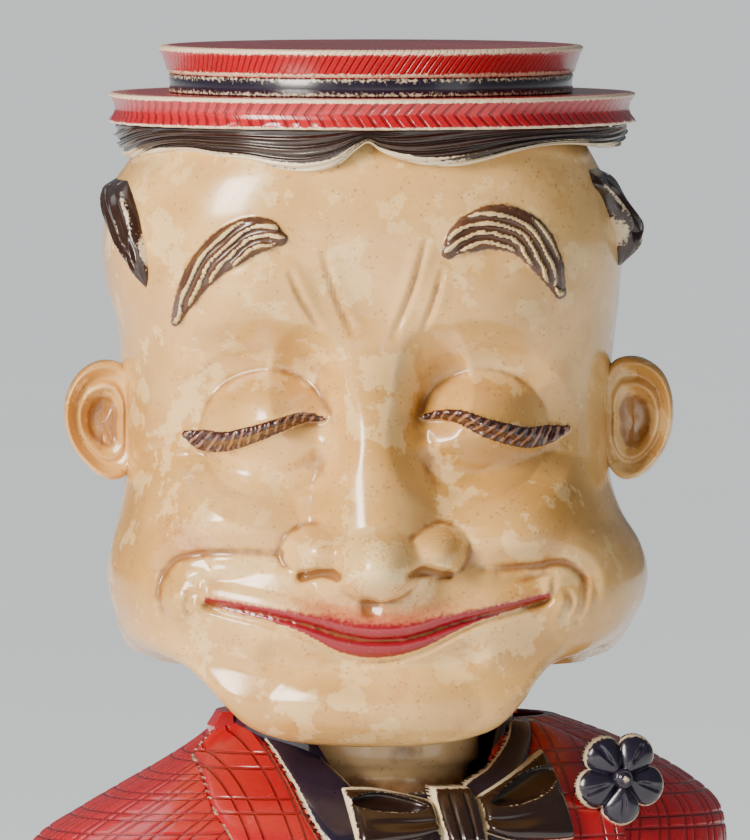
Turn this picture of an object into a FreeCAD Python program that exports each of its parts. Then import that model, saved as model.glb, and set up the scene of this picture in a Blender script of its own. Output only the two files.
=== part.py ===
# Ventriloquist bust: a hollow moulded head with a boater hat, carried on a control stick that turns and
# nods in the neck of a hollow moulded jacket bust.
#
# Frame: millimetres, +Z up, origin at the middle of the flat underside, the face looks along -Y.
# The bust itself is turned a little to +X under the head, so every bust piece is drawn facing -Y first
# and is turned about Z at the end.
import FreeCAD
import Part
import Sketcher
import math
import os
from FreeCAD import Placement, Rotation, Vector

doc = FreeCAD.newDocument("ventriloquist_bust")
sheet = doc.addObject("Spreadsheet::Sheet", "sizes")

SIZES = [
    ("bust_turn", 20.0, "how far the bust is turned under the face, degrees"),
    ("bust_wall", 3.0, "wall of the jacket shells"),
    ("felt_thick", 2.0, "felt under the base"),
    ("board_thick", 6.0, "base board"),
    ("shelf_low", 82.0, "underside of the shoulder shelf"),
    ("shelf_thick", 8.0, "shoulder shelf"),
    ("pivot_height", 104.0, "height of the nod pin and of the neck ball's centre"),
    ("ball_radius", 29.0, "neck ball"),
    ("ball_gap", 0.3, "running gap round the neck ball"),
    ("neck_radius", 27.0, "neck above the ball"),
    ("throat_radius", 31.0, "throat, where the neck shows above the collar"),
    ("throat_low", 117.0, "height where the neck starts to widen to the throat"),
    ("collar_radius", 40.0, "outside of the shirt collar's stand, and the bust's neck hole"),
    ("well_radius", 47.0, "well in the head's underside, round the neck"),
    ("well_roof", 148.0, "height of the well's roof, where the neck meets the head"),
    ("ring_radius", 33.0, "swivel ring"),
    ("ring_top", 111.0, "top of the swivel ring"),
    ("flange_radius", 38.0, "flange of the swivel ring"),
    ("fit_gap", 0.05, "radial clearance of the running fits"),
    ("pin_radius", 2.5, "nod pin"),
    ("stick_radius", 9.0, "head stick"),
    ("stick_low", 26.0, "lower end of the head stick"),
    ("grip_length", 50.0, "rubber grip on the stick"),
    ("head_wall", 3.2, "wall of the head shells"),
    ("head_split", 4.0, "the face and back shells meet at this Y"),
    ("head_top", 297.0, "flat top of the head, under the hat"),
    ("brim_radius", 74.0, "hat brim"),
    ("brim_thick", 8.8, "hat brim"),
    ("crown_radius", 57.0, "hat crown at the band"),
    ("crown_flare", 2.2, "how much wider the crown is at its top"),
    ("crown_height", 14.4, "hat crown above the brim"),
    ("hat_wall", 3.0, "wall of the hat crown"),
    ("band_height", 6.0, "hat band"),
    ("band_thick", 0.9, "hat band"),
    ("overlay", 3.2, "lapels and collar stand this far off the bust"),
    ("tie_stand", 9.5, "bow tie stands this far off the bust"),
    ("petal_radius", 6.4, "one petal of the buttonhole flower"),
    ("flower_button", 3.1, "flower centre"),
    ("coat_button", 6.0, "jacket button"),
    ("screw_shank", 1.8, "wood screw"),
    ("screw_head", 3.6, "wood screw head"),
    ("ear_thick", 9.0, "ear, front to back"),
    ("ear_bowl", 3.5, "depth of the ear's bowl"),
    ("hand_width", 96.0, "hand opening in the back"),
    ("hand_height", 64.0, "hand opening in the back"),
    ("hand_low", 14.0, "bottom edge of the hand opening"),
    ("hand_corner", 14.0, "corner radius of the hand opening"),
    ("stand_wall", 3.0, "wall of the collar stand round the neck"),
]
for row, (alias, value, note) in enumerate(SIZES, start=1):
    sheet.set(f"A{row}", note)
    sheet.set(f"B{row}", str(value))
    sheet.setAlias(f"B{row}", alias)
doc.recompute()

NODES = {}


def size(alias):
    """The value of a cell of the sheet."""
    return float(sheet.get(alias))


def value_of(value):
    """The value now of an expression over the sheet, or of a plain number."""
    return float(sheet.evalExpression(value)) if isinstance(value, str) else float(value)


def bind(obj, prop, value):
    """Sets a property from an expression over the sheet, or from a plain number."""
    if isinstance(value, str):
        obj.setExpression(prop, value)
    else:
        obj.setExpression(prop, repr(float(value)))


def place(obj, at, spin=None):
    """Puts an object at a point whose coordinates are expressions or numbers."""
    if spin is not None:
        obj.Placement = Placement(Vector(0, 0, 0), Rotation(Vector(*spin[0]), spin[1]))
    for axis, value in zip("xyz", at):
        bind(obj, f"Placement.Base.{axis}", value)
    return obj


def cylinder(name, radius, height, at, spin=None):
    obj = doc.addObject("Part::Cylinder", name)
    bind(obj, "Radius", radius)
    bind(obj, "Height", height)
    return place(obj, at, spin)


def cone(name, low, high, height, at, spin=None):
    obj = doc.addObject("Part::Cone", name)
    bind(obj, "Radius1", low)
    bind(obj, "Radius2", high)
    bind(obj, "Height", height)
    return place(obj, at, spin)


def sphere(name, radius, at):
    obj = doc.addObject("Part::Sphere", name)
    bind(obj, "Radius", radius)
    return place(obj, at)


def box(name, lengths, at):
    obj = doc.addObject("Part::Box", name)
    for prop, value in zip(("Length", "Width", "Height"), lengths):
        bind(obj, prop, value)
    return place(obj, at)


def ellipsoid(name, half, at, spin=None):
    """An ellipsoid with half sizes along X, Y and Z. FreeCAD's Radius1 is along Z."""
    obj = doc.addObject("Part::Ellipsoid", name)
    bind(obj, "Radius1", half[2])
    bind(obj, "Radius2", half[0])
    bind(obj, "Radius3", half[1])
    return place(obj, at, spin)


def cut(name, base, tool):
    obj = doc.addObject("Part::Cut", name)
    obj.Base, obj.Tool = base, tool
    return obj


def common(name, base, tool):
    obj = doc.addObject("Part::Common", name)
    obj.Base, obj.Tool = base, tool
    return obj


def fuse(name, *shapes):
    obj = doc.addObject("Part::MultiFuse", name)
    obj.Shapes = list(shapes)
    return obj


def group(name, shapes):
    obj = doc.addObject("Part::Compound", name)
    obj.Links = list(shapes)
    return obj


def node(obj, label, bust=False):
    """Makes an object one of the handed-in nodes. A piece of the bust is held in a turned group."""
    kept = obj
    if bust:
        kept = group(f"{obj.Name}_turned", [obj])
        kept.Placement = Placement(Vector(0, 0, 0), Rotation(Vector(0, 0, 1), size("bust_turn")))
    kept.Label = label
    NODES[label] = kept
    return obj


def outline(sketch, corners):
    """Draws a closed outline in a sketch, each corner tied to its pair of expressions or numbers."""
    points = [[value_of(v) for v in corner] for corner in corners]
    count = len(points)
    for i, (u, v) in enumerate(points):
        u2, v2 = points[(i + 1) % count]
        sketch.addGeometry(Part.LineSegment(Vector(u, v, 0), Vector(u2, v2, 0)), False)
    for i in range(count):
        sketch.addConstraint(Sketcher.Constraint("Coincident", i, 2, (i + 1) % count, 1))
    for i, corner in enumerate(corners):
        for kind, axis, value, now in (("DistanceX", -2, corner[0], points[i][0]),
                                       ("DistanceY", -1, corner[1], points[i][1])):
            if abs(now) < 1e-9:
                sketch.addConstraint(Sketcher.Constraint("PointOnObject", i, 1, axis))
            else:
                made = sketch.addConstraint(Sketcher.Constraint(kind, -1, 1, i, 1, now))
                if isinstance(value, str):
                    sketch.setExpression(f"Constraints[{made}]", value)
    return sketch


def turned(name, profile):
    """A body of revolution about Z, from a profile of (radius, height) corners."""
    body = doc.addObject("PartDesign::Body", name)
    plane = next(f for f in body.Origin.OriginFeatures if f.Role == "XZ_Plane")
    sketch = body.newObject("Sketcher::SketchObject", f"{name}_profile")
    sketch.AttachmentSupport = (plane, "")
    sketch.MapMode = "FlatFace"
    outline(sketch, profile)
    spun = body.newObject("PartDesign::Revolution", f"{name}_turned")
    spun.Profile = sketch
    spun.ReferenceAxis = (sketch, ["V_Axis"])
    spun.Angle = 360
    body.Tip = spun
    return body


def slab(name, corners, near, far):
    """A prism whose outline is drawn on XZ, reaching from Y = near to Y = far. near is the lower Y."""
    body = doc.addObject("PartDesign::Body", name)
    plane = next(f for f in body.Origin.OriginFeatures if f.Role == "XZ_Plane")
    sketch = body.newObject("Sketcher::SketchObject", f"{name}_outline")
    sketch.AttachmentSupport = (plane, "")
    sketch.MapMode = "FlatFace"
    outline(sketch, corners)
    pad = body.newObject("PartDesign::Pad", f"{name}_pad")
    pad.Profile = sketch
    bind(pad, "Length", far - near)
    body.Tip = pad
    # the XZ plane's normal is -Y, so the pad grows from Y = far down to Y = near
    place(body, (0, far, 0))
    return body


def ring_wire(name, z, left, right, front, back, power):
    """A closed rounded section at one height: a superellipse between four extremes."""
    steps = 16
    mid_x, half_x = (left + right) / 2, (right - left) / 2
    mid_y, half_y = (front + back) / 2, (back - front) / 2
    points = []
    for i in range(steps):
        a = 2 * math.pi * i / steps
        c, s = math.cos(a), math.sin(a)
        x = mid_x + half_x * math.copysign(abs(c) ** (2 / power), c)
        y = mid_y + half_y * math.copysign(abs(s) ** (2 / power), s)
        points.append(Vector(x, y, z))
    curve = Part.BSplineCurve()
    curve.interpolate(points, PeriodicFlag=True)
    obj = doc.addObject("Part::Feature", name)
    obj.Shape = Part.Wire([curve.toShape()])
    return obj


def skin(name, sections, grow, power, low=None, high=None):
    """A solid loft through sections (z, left, right, front, back), each side moved out by grow."""
    wires = []
    kept = [s for s in sections if (low is None or s[0] >= low) and (high is None or s[0] <= high)]
    for i, (z, left, right, front, back) in enumerate(kept):
        wires.append(ring_wire(f"{name}_section_{i}", z, left - grow, right + grow,
                               front - grow, back + grow, power))
    loft = doc.addObject("Part::Loft", name)
    loft.Sections = wires
    loft.Solid = True
    loft.Ruled = True
    return loft


# ---------------------------------------------------------------- the bust: jacket shells
# Heights of the bust and the left, right, front and back of its skin. The right shoulder sits higher.
FLOOR = size("felt_thick") + size("board_thick")
BUST = [
    (FLOOR, -78, 78, -46, 50),
    (40, -88, 88, -52, 56),
    (70, -97, 97, -57, 59),
    (88, -101, 102, -58, 58),
    (99, -95, 103, -55, 57),
    (107, -81, 101, -49, 55),
    (114, -67, 93, -43, 53),
    (120, -55, 83, -36, 50),
    (126, -45, 70, -29, 46),
    (131, -39, 56, -22, 42),
]
BUST_POWER = 2.35
bust_outer = skin("bust_outer", BUST, 0, BUST_POWER)
bust_inner = skin("bust_inner", BUST, -size("bust_wall"), BUST_POWER)
bust_over = skin("bust_over", BUST, size("overlay"), BUST_POWER)
bust_tie = skin("bust_tie", BUST, size("tie_stand"), BUST_POWER)

neck_hole = cylinder("neck_hole", "sizes.collar_radius", 60, (0, 0, 100))
bust_hollow = cut("bust_hollow", bust_outer, bust_inner)
bust_open = cut("bust_open", bust_hollow, neck_hole)

front_half = box("front_half", (300, 150, 200), (-150, -150, 0))
back_half = box("back_half", (300, 150, 200), (-150, 0, 0))
hand_tool = box("hand_tool", ("sizes.hand_width", 60, "sizes.hand_height"),
                ("-sizes.hand_width / 2", 20, "sizes.hand_low"))
hand_round = doc.addObject("Part::Fillet", "hand_round")
hand_round.Base = hand_tool
doc.recompute()
along_y = [i for i, e in enumerate(hand_tool.Shape.Edges, start=1)
           if abs(abs(e.tangentAt(e.FirstParameter).y) - 1) < 1e-6]
hand_round.Edges = [(i, size("hand_corner"), size("hand_corner")) for i in along_y]
jacket_front = node(common("jacket_front_shell", bust_open, front_half), "jacket_front", bust=True)
back_wall = common("back_wall", bust_open, back_half)
jacket_back = node(cut("jacket_back_shell", back_wall, hand_round), "jacket_back", bust=True)

# ---------------------------------------------------------------- the bust: base, felt and shelf
BASE_SCREWS = [(-46, -24), (46, -24), (-46, 28), (46, 28)]


def wood_screw(name, at, length, up=True):
    """A countersunk screw. It points up from its head at the low end, or down from its head at the top."""
    x, y, z = at
    rise = value_of("sizes.screw_head - sizes.screw_shank")
    if up:
        head = cone(f"{name}_head", "sizes.screw_head", "sizes.screw_shank", rise, (x, y, z))
        shank = cylinder(f"{name}_shank", "sizes.screw_shank", length, (x, y, z))
    else:
        head = cone(f"{name}_head", "sizes.screw_shank", "sizes.screw_head", rise, (x, y, z - rise))
        shank = cylinder(f"{name}_shank", "sizes.screw_shank", length, (x, y, z - length))
    return fuse(name, head, shank)


base_screws = node(group("base_screw_set", [
    wood_screw(f"base_screw_{i}", (x, y, size("felt_thick")), 18) for i, (x, y) in enumerate(BASE_SCREWS)
]), "base_screws", bust=True)

base_wire = ring_wire("base_wire", size("felt_thick"), *BUST[0][1:], BUST_POWER)
felt_wire = ring_wire("felt_wire", 0, *[v * 0.96 for v in BUST[0][1:]], BUST_POWER)


def raised(name, wire, height):
    """A flat plate: a section raised by a thickness."""
    obj = doc.addObject("Part::Extrusion", name)
    obj.Base = wire
    obj.DirMode = "Custom"
    obj.Dir = Vector(0, 0, 1)
    obj.Solid = True
    bind(obj, "LengthFwd", height)
    return obj


base_plate = raised("base_plate", base_wire, "sizes.board_thick")
node(cut("base_board_cut", base_plate, base_screws), "base_board", bust=True)
node(raised("base_felt_plate", felt_wire, "sizes.felt_thick"), "base_felt", bust=True)

block_set = group("block_set", [
    cylinder(f"block_{i}", 6, 16, (x, y, FLOOR)) for i, (x, y) in enumerate(BASE_SCREWS)
])
node(cut("screw_block_cut", block_set, base_screws), "screw_blocks", bust=True)

shelf_skin = skin("shelf_skin", BUST, -size("bust_wall") - 0.2, BUST_POWER)
shelf_slab = box("shelf_slab", (300, 200, "sizes.shelf_thick"), (-150, -100, "sizes.shelf_low"))
shelf_blank = common("shelf_blank", shelf_skin, shelf_slab)
shelf_bore = cylinder("shelf_bore", "sizes.ring_radius + sizes.fit_gap", 40, (0, 0, 70))
shelf_bored = cut("shelf_bored", shelf_blank, shelf_bore)
SHELF_SCREWS = [(-86, -12), (-86, 14), (86, -12), (86, 14)]
shelf_top = size("shelf_low") + size("shelf_thick")
shelf_screws = node(group("shelf_screw_set", [
    wood_screw(f"shelf_screw_{i}", (x, y, shelf_top), 16, up=False)
    for i, (x, y) in enumerate(SHELF_SCREWS)
]), "shelf_screws", bust=True)
node(cut("shelf_cut", shelf_bored, shelf_screws), "shoulder_shelf", bust=True)

cleat_boxes = group("cleat_boxes", [
    box("cleat_box_left", (22, 44, 12), (-101, -21, size("shelf_low") - 12)),
    box("cleat_box_right", (22, 44, 12), (79, -21, size("shelf_low") - 12)),
])
cleat_blank = common("cleat_blank", cleat_boxes, bust_inner)
node(cut("cleat_cut", cleat_blank, shelf_screws), "shelf_cleats", bust=True)

washer = turned("felt_washer_ring", [
    ("sizes.ring_radius + 0.3", "sizes.shelf_low + sizes.shelf_thick"),
    ("sizes.flange_radius + 1", "sizes.shelf_low + sizes.shelf_thick"),
    ("sizes.flange_radius + 1", "sizes.shelf_low + sizes.shelf_thick + 1"),
    ("sizes.ring_radius + 0.3", "sizes.shelf_low + sizes.shelf_thick + 1"),
])
node(washer, "felt_washer", bust=True)

# ---------------------------------------------------------------- the bust: lapels, collar, tie, flower
cloth_layer = cut("cloth_layer", bust_over, bust_outer)
cloth_open = cut("cloth_open", cloth_layer, neck_hole)
# Outlines as seen from the front of the bust, from the neck down. The right side isn't the left
# side's mirror image: its collar crosses further over towards the tie.
OUTLINES = {
    "lapel_left": [(-41, 131.5), (-58, 121.5), (-59, 107), (-57, 95), (-60, 88), (-50, 84), (-42, 72),
                   (-1, 46), (-1, 60), (-22, 84), (-32, 100), (-35.5, 118)],
    "lapel_right": [(41, 131.5), (35, 123), (26, 113), (32, 100), (22, 84), (1, 60), (1, 46),
                    (42, 72), (50, 84), (60, 88), (57, 95), (59, 107), (58, 121.5)],
    "collar_leaf_left": [(-41, 131.5), (-35.5, 118), (-32, 100), (-22, 84), (-13, 95), (-20, 104),
                         (-22, 111), (-30, 121), (-34, 131.5)],
    "collar_leaf_right": [(34, 131.5), (26, 122), (10, 114), (14, 104), (13, 95), (22, 84), (32, 100),
                          (26, 113), (35, 123), (41, 131.5)],
}
SHIRT = [(-22, 111), (-20, 104), (-13, 95), (-22, 84), (-1, 60),
         (1, 60), (22, 84), (13, 95), (14, 104), (10, 114)]


for name, corners in OUTLINES.items():
    shape = slab(f"{name}_outline", corners, -90, 2)
    node(common(f"{name}_layer", cloth_open, shape), name, bust=True)

shirt_over = skin("shirt_over", BUST, 1.4, BUST_POWER)
shirt_layer = cut("shirt_layer", shirt_over, bust_outer)
shirt_open = cut("shirt_open", shirt_layer, neck_hole)
shirt_slab = slab("shirt_outline", SHIRT, -90, 0)
node(common("shirt_blank", shirt_open, shirt_slab), "shirt_front", bust=True)

# the collar stand is a ring round the neck, cut away at the front
stand_ring = turned("stand_ring", [
    ("sizes.collar_radius - sizes.stand_wall", 112), ("sizes.collar_radius", 112),
    ("sizes.collar_radius", 130), ("sizes.collar_radius - 1", 134),
    ("sizes.collar_radius - sizes.stand_wall", 134),
])
stand_gap = slab("stand_gap", [(-44, 137), (-34, 128), (-14, 110), (14, 110), (34, 128), (44, 137)], -60, -2)
node(cut("stand_cut", stand_ring, stand_gap), "collar_stand", bust=True)

# the jacket's own collar lies round the back of the stand, on the shoulders
coat_collar = turned("coat_collar_ring", [
    ("sizes.collar_radius + 0.3", 124), (45, 124), (46, 129), (43.5, 133), ("sizes.collar_radius + 0.3", 133),
])
coat_collar_back = box("coat_collar_back", (120, 60, 20), (-60, 2, 120))
node(cut("coat_collar_cut", common("coat_collar_half", coat_collar, coat_collar_back), bust_outer),
     "jacket_collar", bust=True)

tie_layer = cut("tie_layer", bust_tie, bust_over)
TIE_X = 6
TIE_PIECES = {
    "tie_wing_left": [(TIE_X - 6.6, 110), (-25, 113), (-26, 98), (TIE_X - 6.6, 101)],
    "tie_knot": [(TIE_X - 6, 113.5), (TIE_X + 6, 113.5), (TIE_X + 6.4, 98), (TIE_X - 6.4, 98)],
    "tie_wing_right": [(TIE_X + 6.6, 110), (37, 122.5), (40, 112), (38, 98), (TIE_X + 6.6, 101)],
}
for name, corners in TIE_PIECES.items():
    shape = slab(f"{name}_outline", corners, -90, 0)
    node(common(f"{name}_layer", tie_layer, shape), name, bust=True)

FLOWER = Vector(55.5, -51.2, 115.4)  # flower centre, in front of the right lapel
FLOWER_DEPTH = 5.0
petals = []
for i in range(5):
    a = math.radians(56 + 72 * i)
    petals.append(cylinder(f"petal_{i}", "sizes.petal_radius", FLOWER_DEPTH,
                           (FLOWER.x + 7.4 * math.cos(a), FLOWER.y, FLOWER.z + 7.4 * math.sin(a)),
                           ((1, 0, 0), 90)))
button_seat = cylinder("button_seat", "sizes.flower_button", 20, (FLOWER.x, FLOWER.y + 1, FLOWER.z),
                       ((1, 0, 0), 90))
petal_disc = cut("petal_disc", fuse("petal_ring", *petals), button_seat)
node(petal_disc, "flower_petals", bust=True)
button = cylinder("button_post", "sizes.flower_button", FLOWER_DEPTH + 1.4,
                  (FLOWER.x, FLOWER.y, FLOWER.z), ((1, 0, 0), 90))
node(button, "flower_centre", bust=True)
pin = cylinder("flower_stem", 1.2, 17, (FLOWER.x, FLOWER.y + 17, FLOWER.z - 1), ((1, 0, 0), 90))
node(cut("flower_stem_cut", pin, bust_over), "flower_stem", bust=True)

BUTTON_HEIGHTS = [36, 18]
coat_buttons = []
for i, z in enumerate(BUTTON_HEIGHTS):
    coat_buttons.append(cylinder(f"coat_button_disc_{i}", "sizes.coat_button", 20, (0, -40, z),
                                 ((1, 0, 0), 90)))
node(common("coat_button_set", cut("button_layer", bust_over, bust_outer),
            group("button_discs", coat_buttons)), "coat_buttons", bust=True)

# ---------------------------------------------------------------- the swivel ring and nod pin
ring_blank = turned("ring_blank", [
    (10, "sizes.shelf_low - 0.5"), ("sizes.ring_radius", "sizes.shelf_low - 0.5"),
    ("sizes.ring_radius", "sizes.shelf_low + sizes.shelf_thick + 1.1"),
    ("sizes.flange_radius", "sizes.shelf_low + sizes.shelf_thick + 1.1"),
    ("sizes.flange_radius", "sizes.shelf_low + sizes.shelf_thick + 5"),
    ("sizes.ring_radius", "sizes.shelf_low + sizes.shelf_thick + 5"),
    ("sizes.ring_radius", "sizes.ring_top"), (10, "sizes.ring_top"),
])
seat_ball = sphere("seat_ball", "sizes.ball_radius + sizes.ball_gap", (0, 0, "sizes.pivot_height"))
seat_well = cylinder("seat_well", "sizes.ball_radius + sizes.ball_gap", 40, (0, 0, "sizes.pivot_height"))
ring_seat = cut("ring_seat", ring_blank, fuse("seat_tool", seat_ball, seat_well))
nod_pin = cylinder("nod_pin_rod", "sizes.pin_radius", "2 * sizes.ring_radius - 0.6",
                   ("0.3 - sizes.ring_radius", 0, "sizes.pivot_height"), ((0, 1, 0), 90))
RETAINER_CIRCLE = 28.5
RETAINER_SCREWS = [(RETAINER_CIRCLE * math.cos(math.radians(a)), RETAINER_CIRCLE * math.sin(math.radians(a)))
                   for a in (45, 135, 225, 315)]
retainer_low = size("shelf_low") - 4.5
retainer_screws = group("retainer_screw_set", [
    wood_screw(f"retainer_screw_{i}", (x, y, retainer_low), 9) for i, (x, y) in enumerate(RETAINER_SCREWS)
])
node(cut("ring_pinned", cut("ring_for_pin", ring_seat, nod_pin), retainer_screws), "swivel_ring")
node(nod_pin, "nod_pin")
node(retainer_screws, "retainer_screws")
retainer = turned("retainer_blank", [
    (22, "sizes.shelf_low - 4.5"), ("sizes.flange_radius", "sizes.shelf_low - 4.5"),
    ("sizes.flange_radius", "sizes.shelf_low - 0.5"), (22, "sizes.shelf_low - 0.5"),
])
node(cut("retainer_cut", retainer, retainer_screws), "retaining_ring")

# ---------------------------------------------------------------- the head: neck, stick and grip
pin_bore = cylinder("pin_bore", "sizes.pin_radius + sizes.fit_gap", 100,
                    (-50, 0, "sizes.pivot_height"), ((0, 1, 0), 90))
stick_bore = cylinder("stick_bore", "sizes.stick_radius", 200, (0, 0, 40))
ball = sphere("ball", "sizes.ball_radius", (0, 0, "sizes.pivot_height"))
column = cylinder("column", "sizes.neck_radius", "sizes.well_roof - sizes.pivot_height",
                  (0, 0, "sizes.pivot_height"))
throat_flare = cone("throat_flare", "sizes.neck_radius", "sizes.throat_radius", 2.5,
                    (0, 0, "sizes.throat_low"))
throat = cylinder("throat", "sizes.throat_radius", 7.5, (0, 0, "sizes.throat_low + 2.5"))
throat_taper = cone("throat_taper", "sizes.throat_radius", "sizes.neck_radius", 7,
                    (0, 0, "sizes.throat_low + 10"))
spigot = cylinder("spigot", 18, "8 + sizes.head_wall", (0, 0, "sizes.well_roof"))
neck_blank = fuse("neck_blank", ball, column, throat_flare, throat, throat_taper, spigot)
neck_bored = cut("neck_bored", neck_blank, stick_bore)
node(cut("neck_pinned", neck_bored, pin_bore), "neck_ball")

block_low = 276
stick = cylinder("stick", "sizes.stick_radius", f"{block_low + 8} - sizes.stick_low",
                 (0, 0, "sizes.stick_low"))
node(cut("stick_pinned", stick, pin_bore), "head_stick")
crown_block = turned("crown_block_blank", [
    (0, block_low + 8), ("sizes.stick_radius", block_low + 8), ("sizes.stick_radius", block_low),
    (26, block_low), (26, "sizes.head_top - sizes.head_wall"), (0, "sizes.head_top - sizes.head_wall"),
])

grip_top = "sizes.stick_low + sizes.grip_length"
grip = turned("grip", [
    (0, "sizes.stick_low - 4"), (10.5, "sizes.stick_low - 4"), (14, "sizes.stick_low"),
    (14, "sizes.stick_low + 6"), (12, "sizes.stick_low + 12"), (12.8, "sizes.stick_low + 18"),
    (12, "sizes.stick_low + 24"), (12.8, "sizes.stick_low + 30"), (12, "sizes.stick_low + 36"),
    (13, "sizes.stick_low + 42"), (13.5, "sizes.stick_low + 46"), (12, grip_top),
    ("sizes.stick_radius", grip_top), ("sizes.stick_radius", "sizes.stick_low"), (0, "sizes.stick_low"),
])
node(grip, "stick_grip")

# ---------------------------------------------------------------- the head: face and back shells
# Heights of the head and the left, right, front and back of its skin, from the chin up.
HEAD = [
    (126, -19, 22, -56, -49),
    (130, -36, 38, -59, -41),
    (136, -42, 44, -60, -22),
    (143, -48.5, 49.5, -61, 20),
    (148.5, -58, 58, -61, 44),
    (155, -69, 71.5, -61, 52),
    (167, -73.5, 77.4, -61, 58),
    (180, -72.8, 75.4, -61, 63),
    (194, -69, 68, -59, 68),
    (213, -68.6, 66.5, -58, 73),
    (235, -70.2, 68.4, -60, 75),
    (252, -74.2, 70.4, -63, 74),
    (268, -75.4, 70.4, -65, 71),
    (283, -69, 65, -63, 67),
    (size("head_top"), -60, 57, -58, 60),
]
HEAD_POWER = 2.5
head_outer = skin("head_outer", HEAD, 0, HEAD_POWER)
wall = size("head_wall")
SOLID_CHIN = 3  # the lowest sections, where the chin has no hollow
lid_section = (size("head_top") - wall, *HEAD[-1][1:])
head_inner = skin("head_inner", HEAD[SOLID_CHIN:-1] + [lid_section], -wall, HEAD_POWER)

FACE_FORMS = [
    # nose tip, bridge and wings, then the closed lids
    ("nose_tip", (9.5, 9, 9), (2, -66, 172), None),
    ("nose_bridge", (9, 8, 30), (0.5, -57, 204), None),
    ("nose_wing_left", (7, 6, 6), (-16, -62, 177), None),
    ("nose_wing_right", (7, 6, 6), (20, -62, 176), None),
    ("lid_left", (17, 9, 14), (-29, -52, 217), None),
    ("lid_right", (17, 9, 14), (30, -52, 217), None),
]
forms = [ellipsoid(name, half, at, spin) for name, half, at, spin in FACE_FORMS]
well_keep = cylinder("well_keep", "sizes.well_radius + sizes.head_wall",
                     "sizes.well_roof + sizes.head_wall - 100", (0, 0, 100))
head_hollow = cut("head_hollow", head_inner, well_keep)
head_shell = cut("head_shell", head_outer, head_hollow)
well = cylinder("well", "sizes.well_radius", "sizes.well_roof - 100", (0, 0, 100))
spigot_hole = cylinder("spigot_hole", 18, 40, (0, 0, "sizes.well_roof - 2"))
head_bored = cut("head_bored", head_shell, fuse("well_tool", well, spigot_hole))
face_half = box("face_half", (300, "150 + sizes.head_split", 300), (-150, -150, 60))
rear_half = box("rear_half", (300, 150, 300), (-150, "sizes.head_split", 60))
face_blank = fuse("face_blank", common("face_front", head_bored, face_half), *forms)
rear_blank = common("rear_blank", head_bored, rear_half)

# ---------------------------------------------------------------- the head: ears and hair
# Each ear is a leaf edge-on to the head, glued to it, with a bowl sunk in its front. Seen from in front.
EAR = [(60, 203), (60, 227), (70, 230.6), (73, 231.4), (76.5, 231), (80, 229.4), (82.8, 226.6), (84.6, 223),
       (85.4, 218.6), (85.3, 213.6), (84.3, 208.8), (82.4, 204.8), (79.8, 201.4), (76.8, 199), (74, 197.8),
       (71, 197.8), (68, 199.4)]
EAR_BOWL = [(72.6, 209), (72.4, 221), (74.6, 225), (77.6, 225.6), (80, 222.6), (81, 217), (80.4, 211), (78.2, 206.6),
            (75.4, 205.6)]
EAR_BACK = 0.5
ear_front = EAR_BACK - size("ear_thick")
for side, sign in (("left", -1), ("right", 1)):
    leaf = slab(f"ear_{side}_form", [(sign * x, z) for x, z in EAR], ear_front, EAR_BACK)
    bowl = slab(f"ear_{side}_bowl", [(sign * x, z) for x, z in EAR_BOWL], ear_front - 5,
                ear_front + size("ear_bowl"))
    node(cut(f"ear_{side}_bowled", cut(f"ear_{side}_cut", leaf, head_outer), bowl), f"ear_{side}")

hair_skin = skin("hair_skin", HEAD, 3.4, HEAD_POWER, low=160)
hair_layer = cut("hair_layer", hair_skin, head_outer)
hair_box = slab("hair_outline", [(-90, 296.6), (-90, 236), (-62, 206), (-40, 178), (40, 178),
                                 (62, 206), (90, 236), (90, 296.6)], 14, 110)
node(common("hair_back_layer", hair_layer, hair_box), "hair_back")
for side, sign in (("left", -1), ("right", 1)):
    corners = [(sign * x, z) for x, z in ((60, 282), (84, 276), (84, 250), (68, 246), (63, 262))]
    corners = corners if sign < 0 else corners[::-1]
    lock = slab(f"sideburn_{side}_outline", corners, -24, 13.7)
    node(common(f"sideburn_{side}_layer", hair_layer, lock), f"sideburn_{side}")

# the fringe hangs under the brim: a flared skirt outside the head
fringe_skirt = turned("fringe_skirt", [
    (30, 289), (66, 287), (71, 292), (73, 296.8), (30, 296.8),
])
fringe_front = box("fringe_front", (300, 100, 60), (-150, -100, 260))
fringe_cut = cut("fringe_cut", common("fringe_half", fringe_skirt, fringe_front), head_outer)
node(fringe_cut, "hair_fringe")

# ---------------------------------------------------------------- the hat
brim_low = "sizes.head_top + 0.2"
brim_high = "sizes.head_top + 0.2 + sizes.brim_thick"
hat_brim = turned("hat_brim_blank", [
    (0, brim_low), ("sizes.brim_radius", brim_low),
    ("sizes.brim_radius - 1", "sizes.head_top + 0.2 + sizes.brim_thick / 2"),
    ("sizes.brim_radius", brim_high), (0, brim_high),
])
crown_high = "sizes.head_top + 0.2 + sizes.brim_thick + sizes.crown_height"
hat_crown = turned("hat_crown_blank", [
    ("sizes.crown_radius - sizes.hat_wall", brim_high),
    ("sizes.crown_radius", brim_high),
    ("sizes.crown_radius", "sizes.head_top + 0.2 + sizes.brim_thick + sizes.band_height"),
    ("sizes.crown_radius + sizes.crown_flare", crown_high),
    (0, "sizes.head_top + 0.7 + sizes.brim_thick + sizes.crown_height"),
    (0, "sizes.head_top + 0.2 + sizes.brim_thick + sizes.crown_height - sizes.hat_wall"),
    ("sizes.crown_radius - sizes.hat_wall",
     "sizes.head_top + 0.2 + sizes.brim_thick + sizes.crown_height - sizes.hat_wall"),
])
node(hat_crown, "hat_crown")
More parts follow.
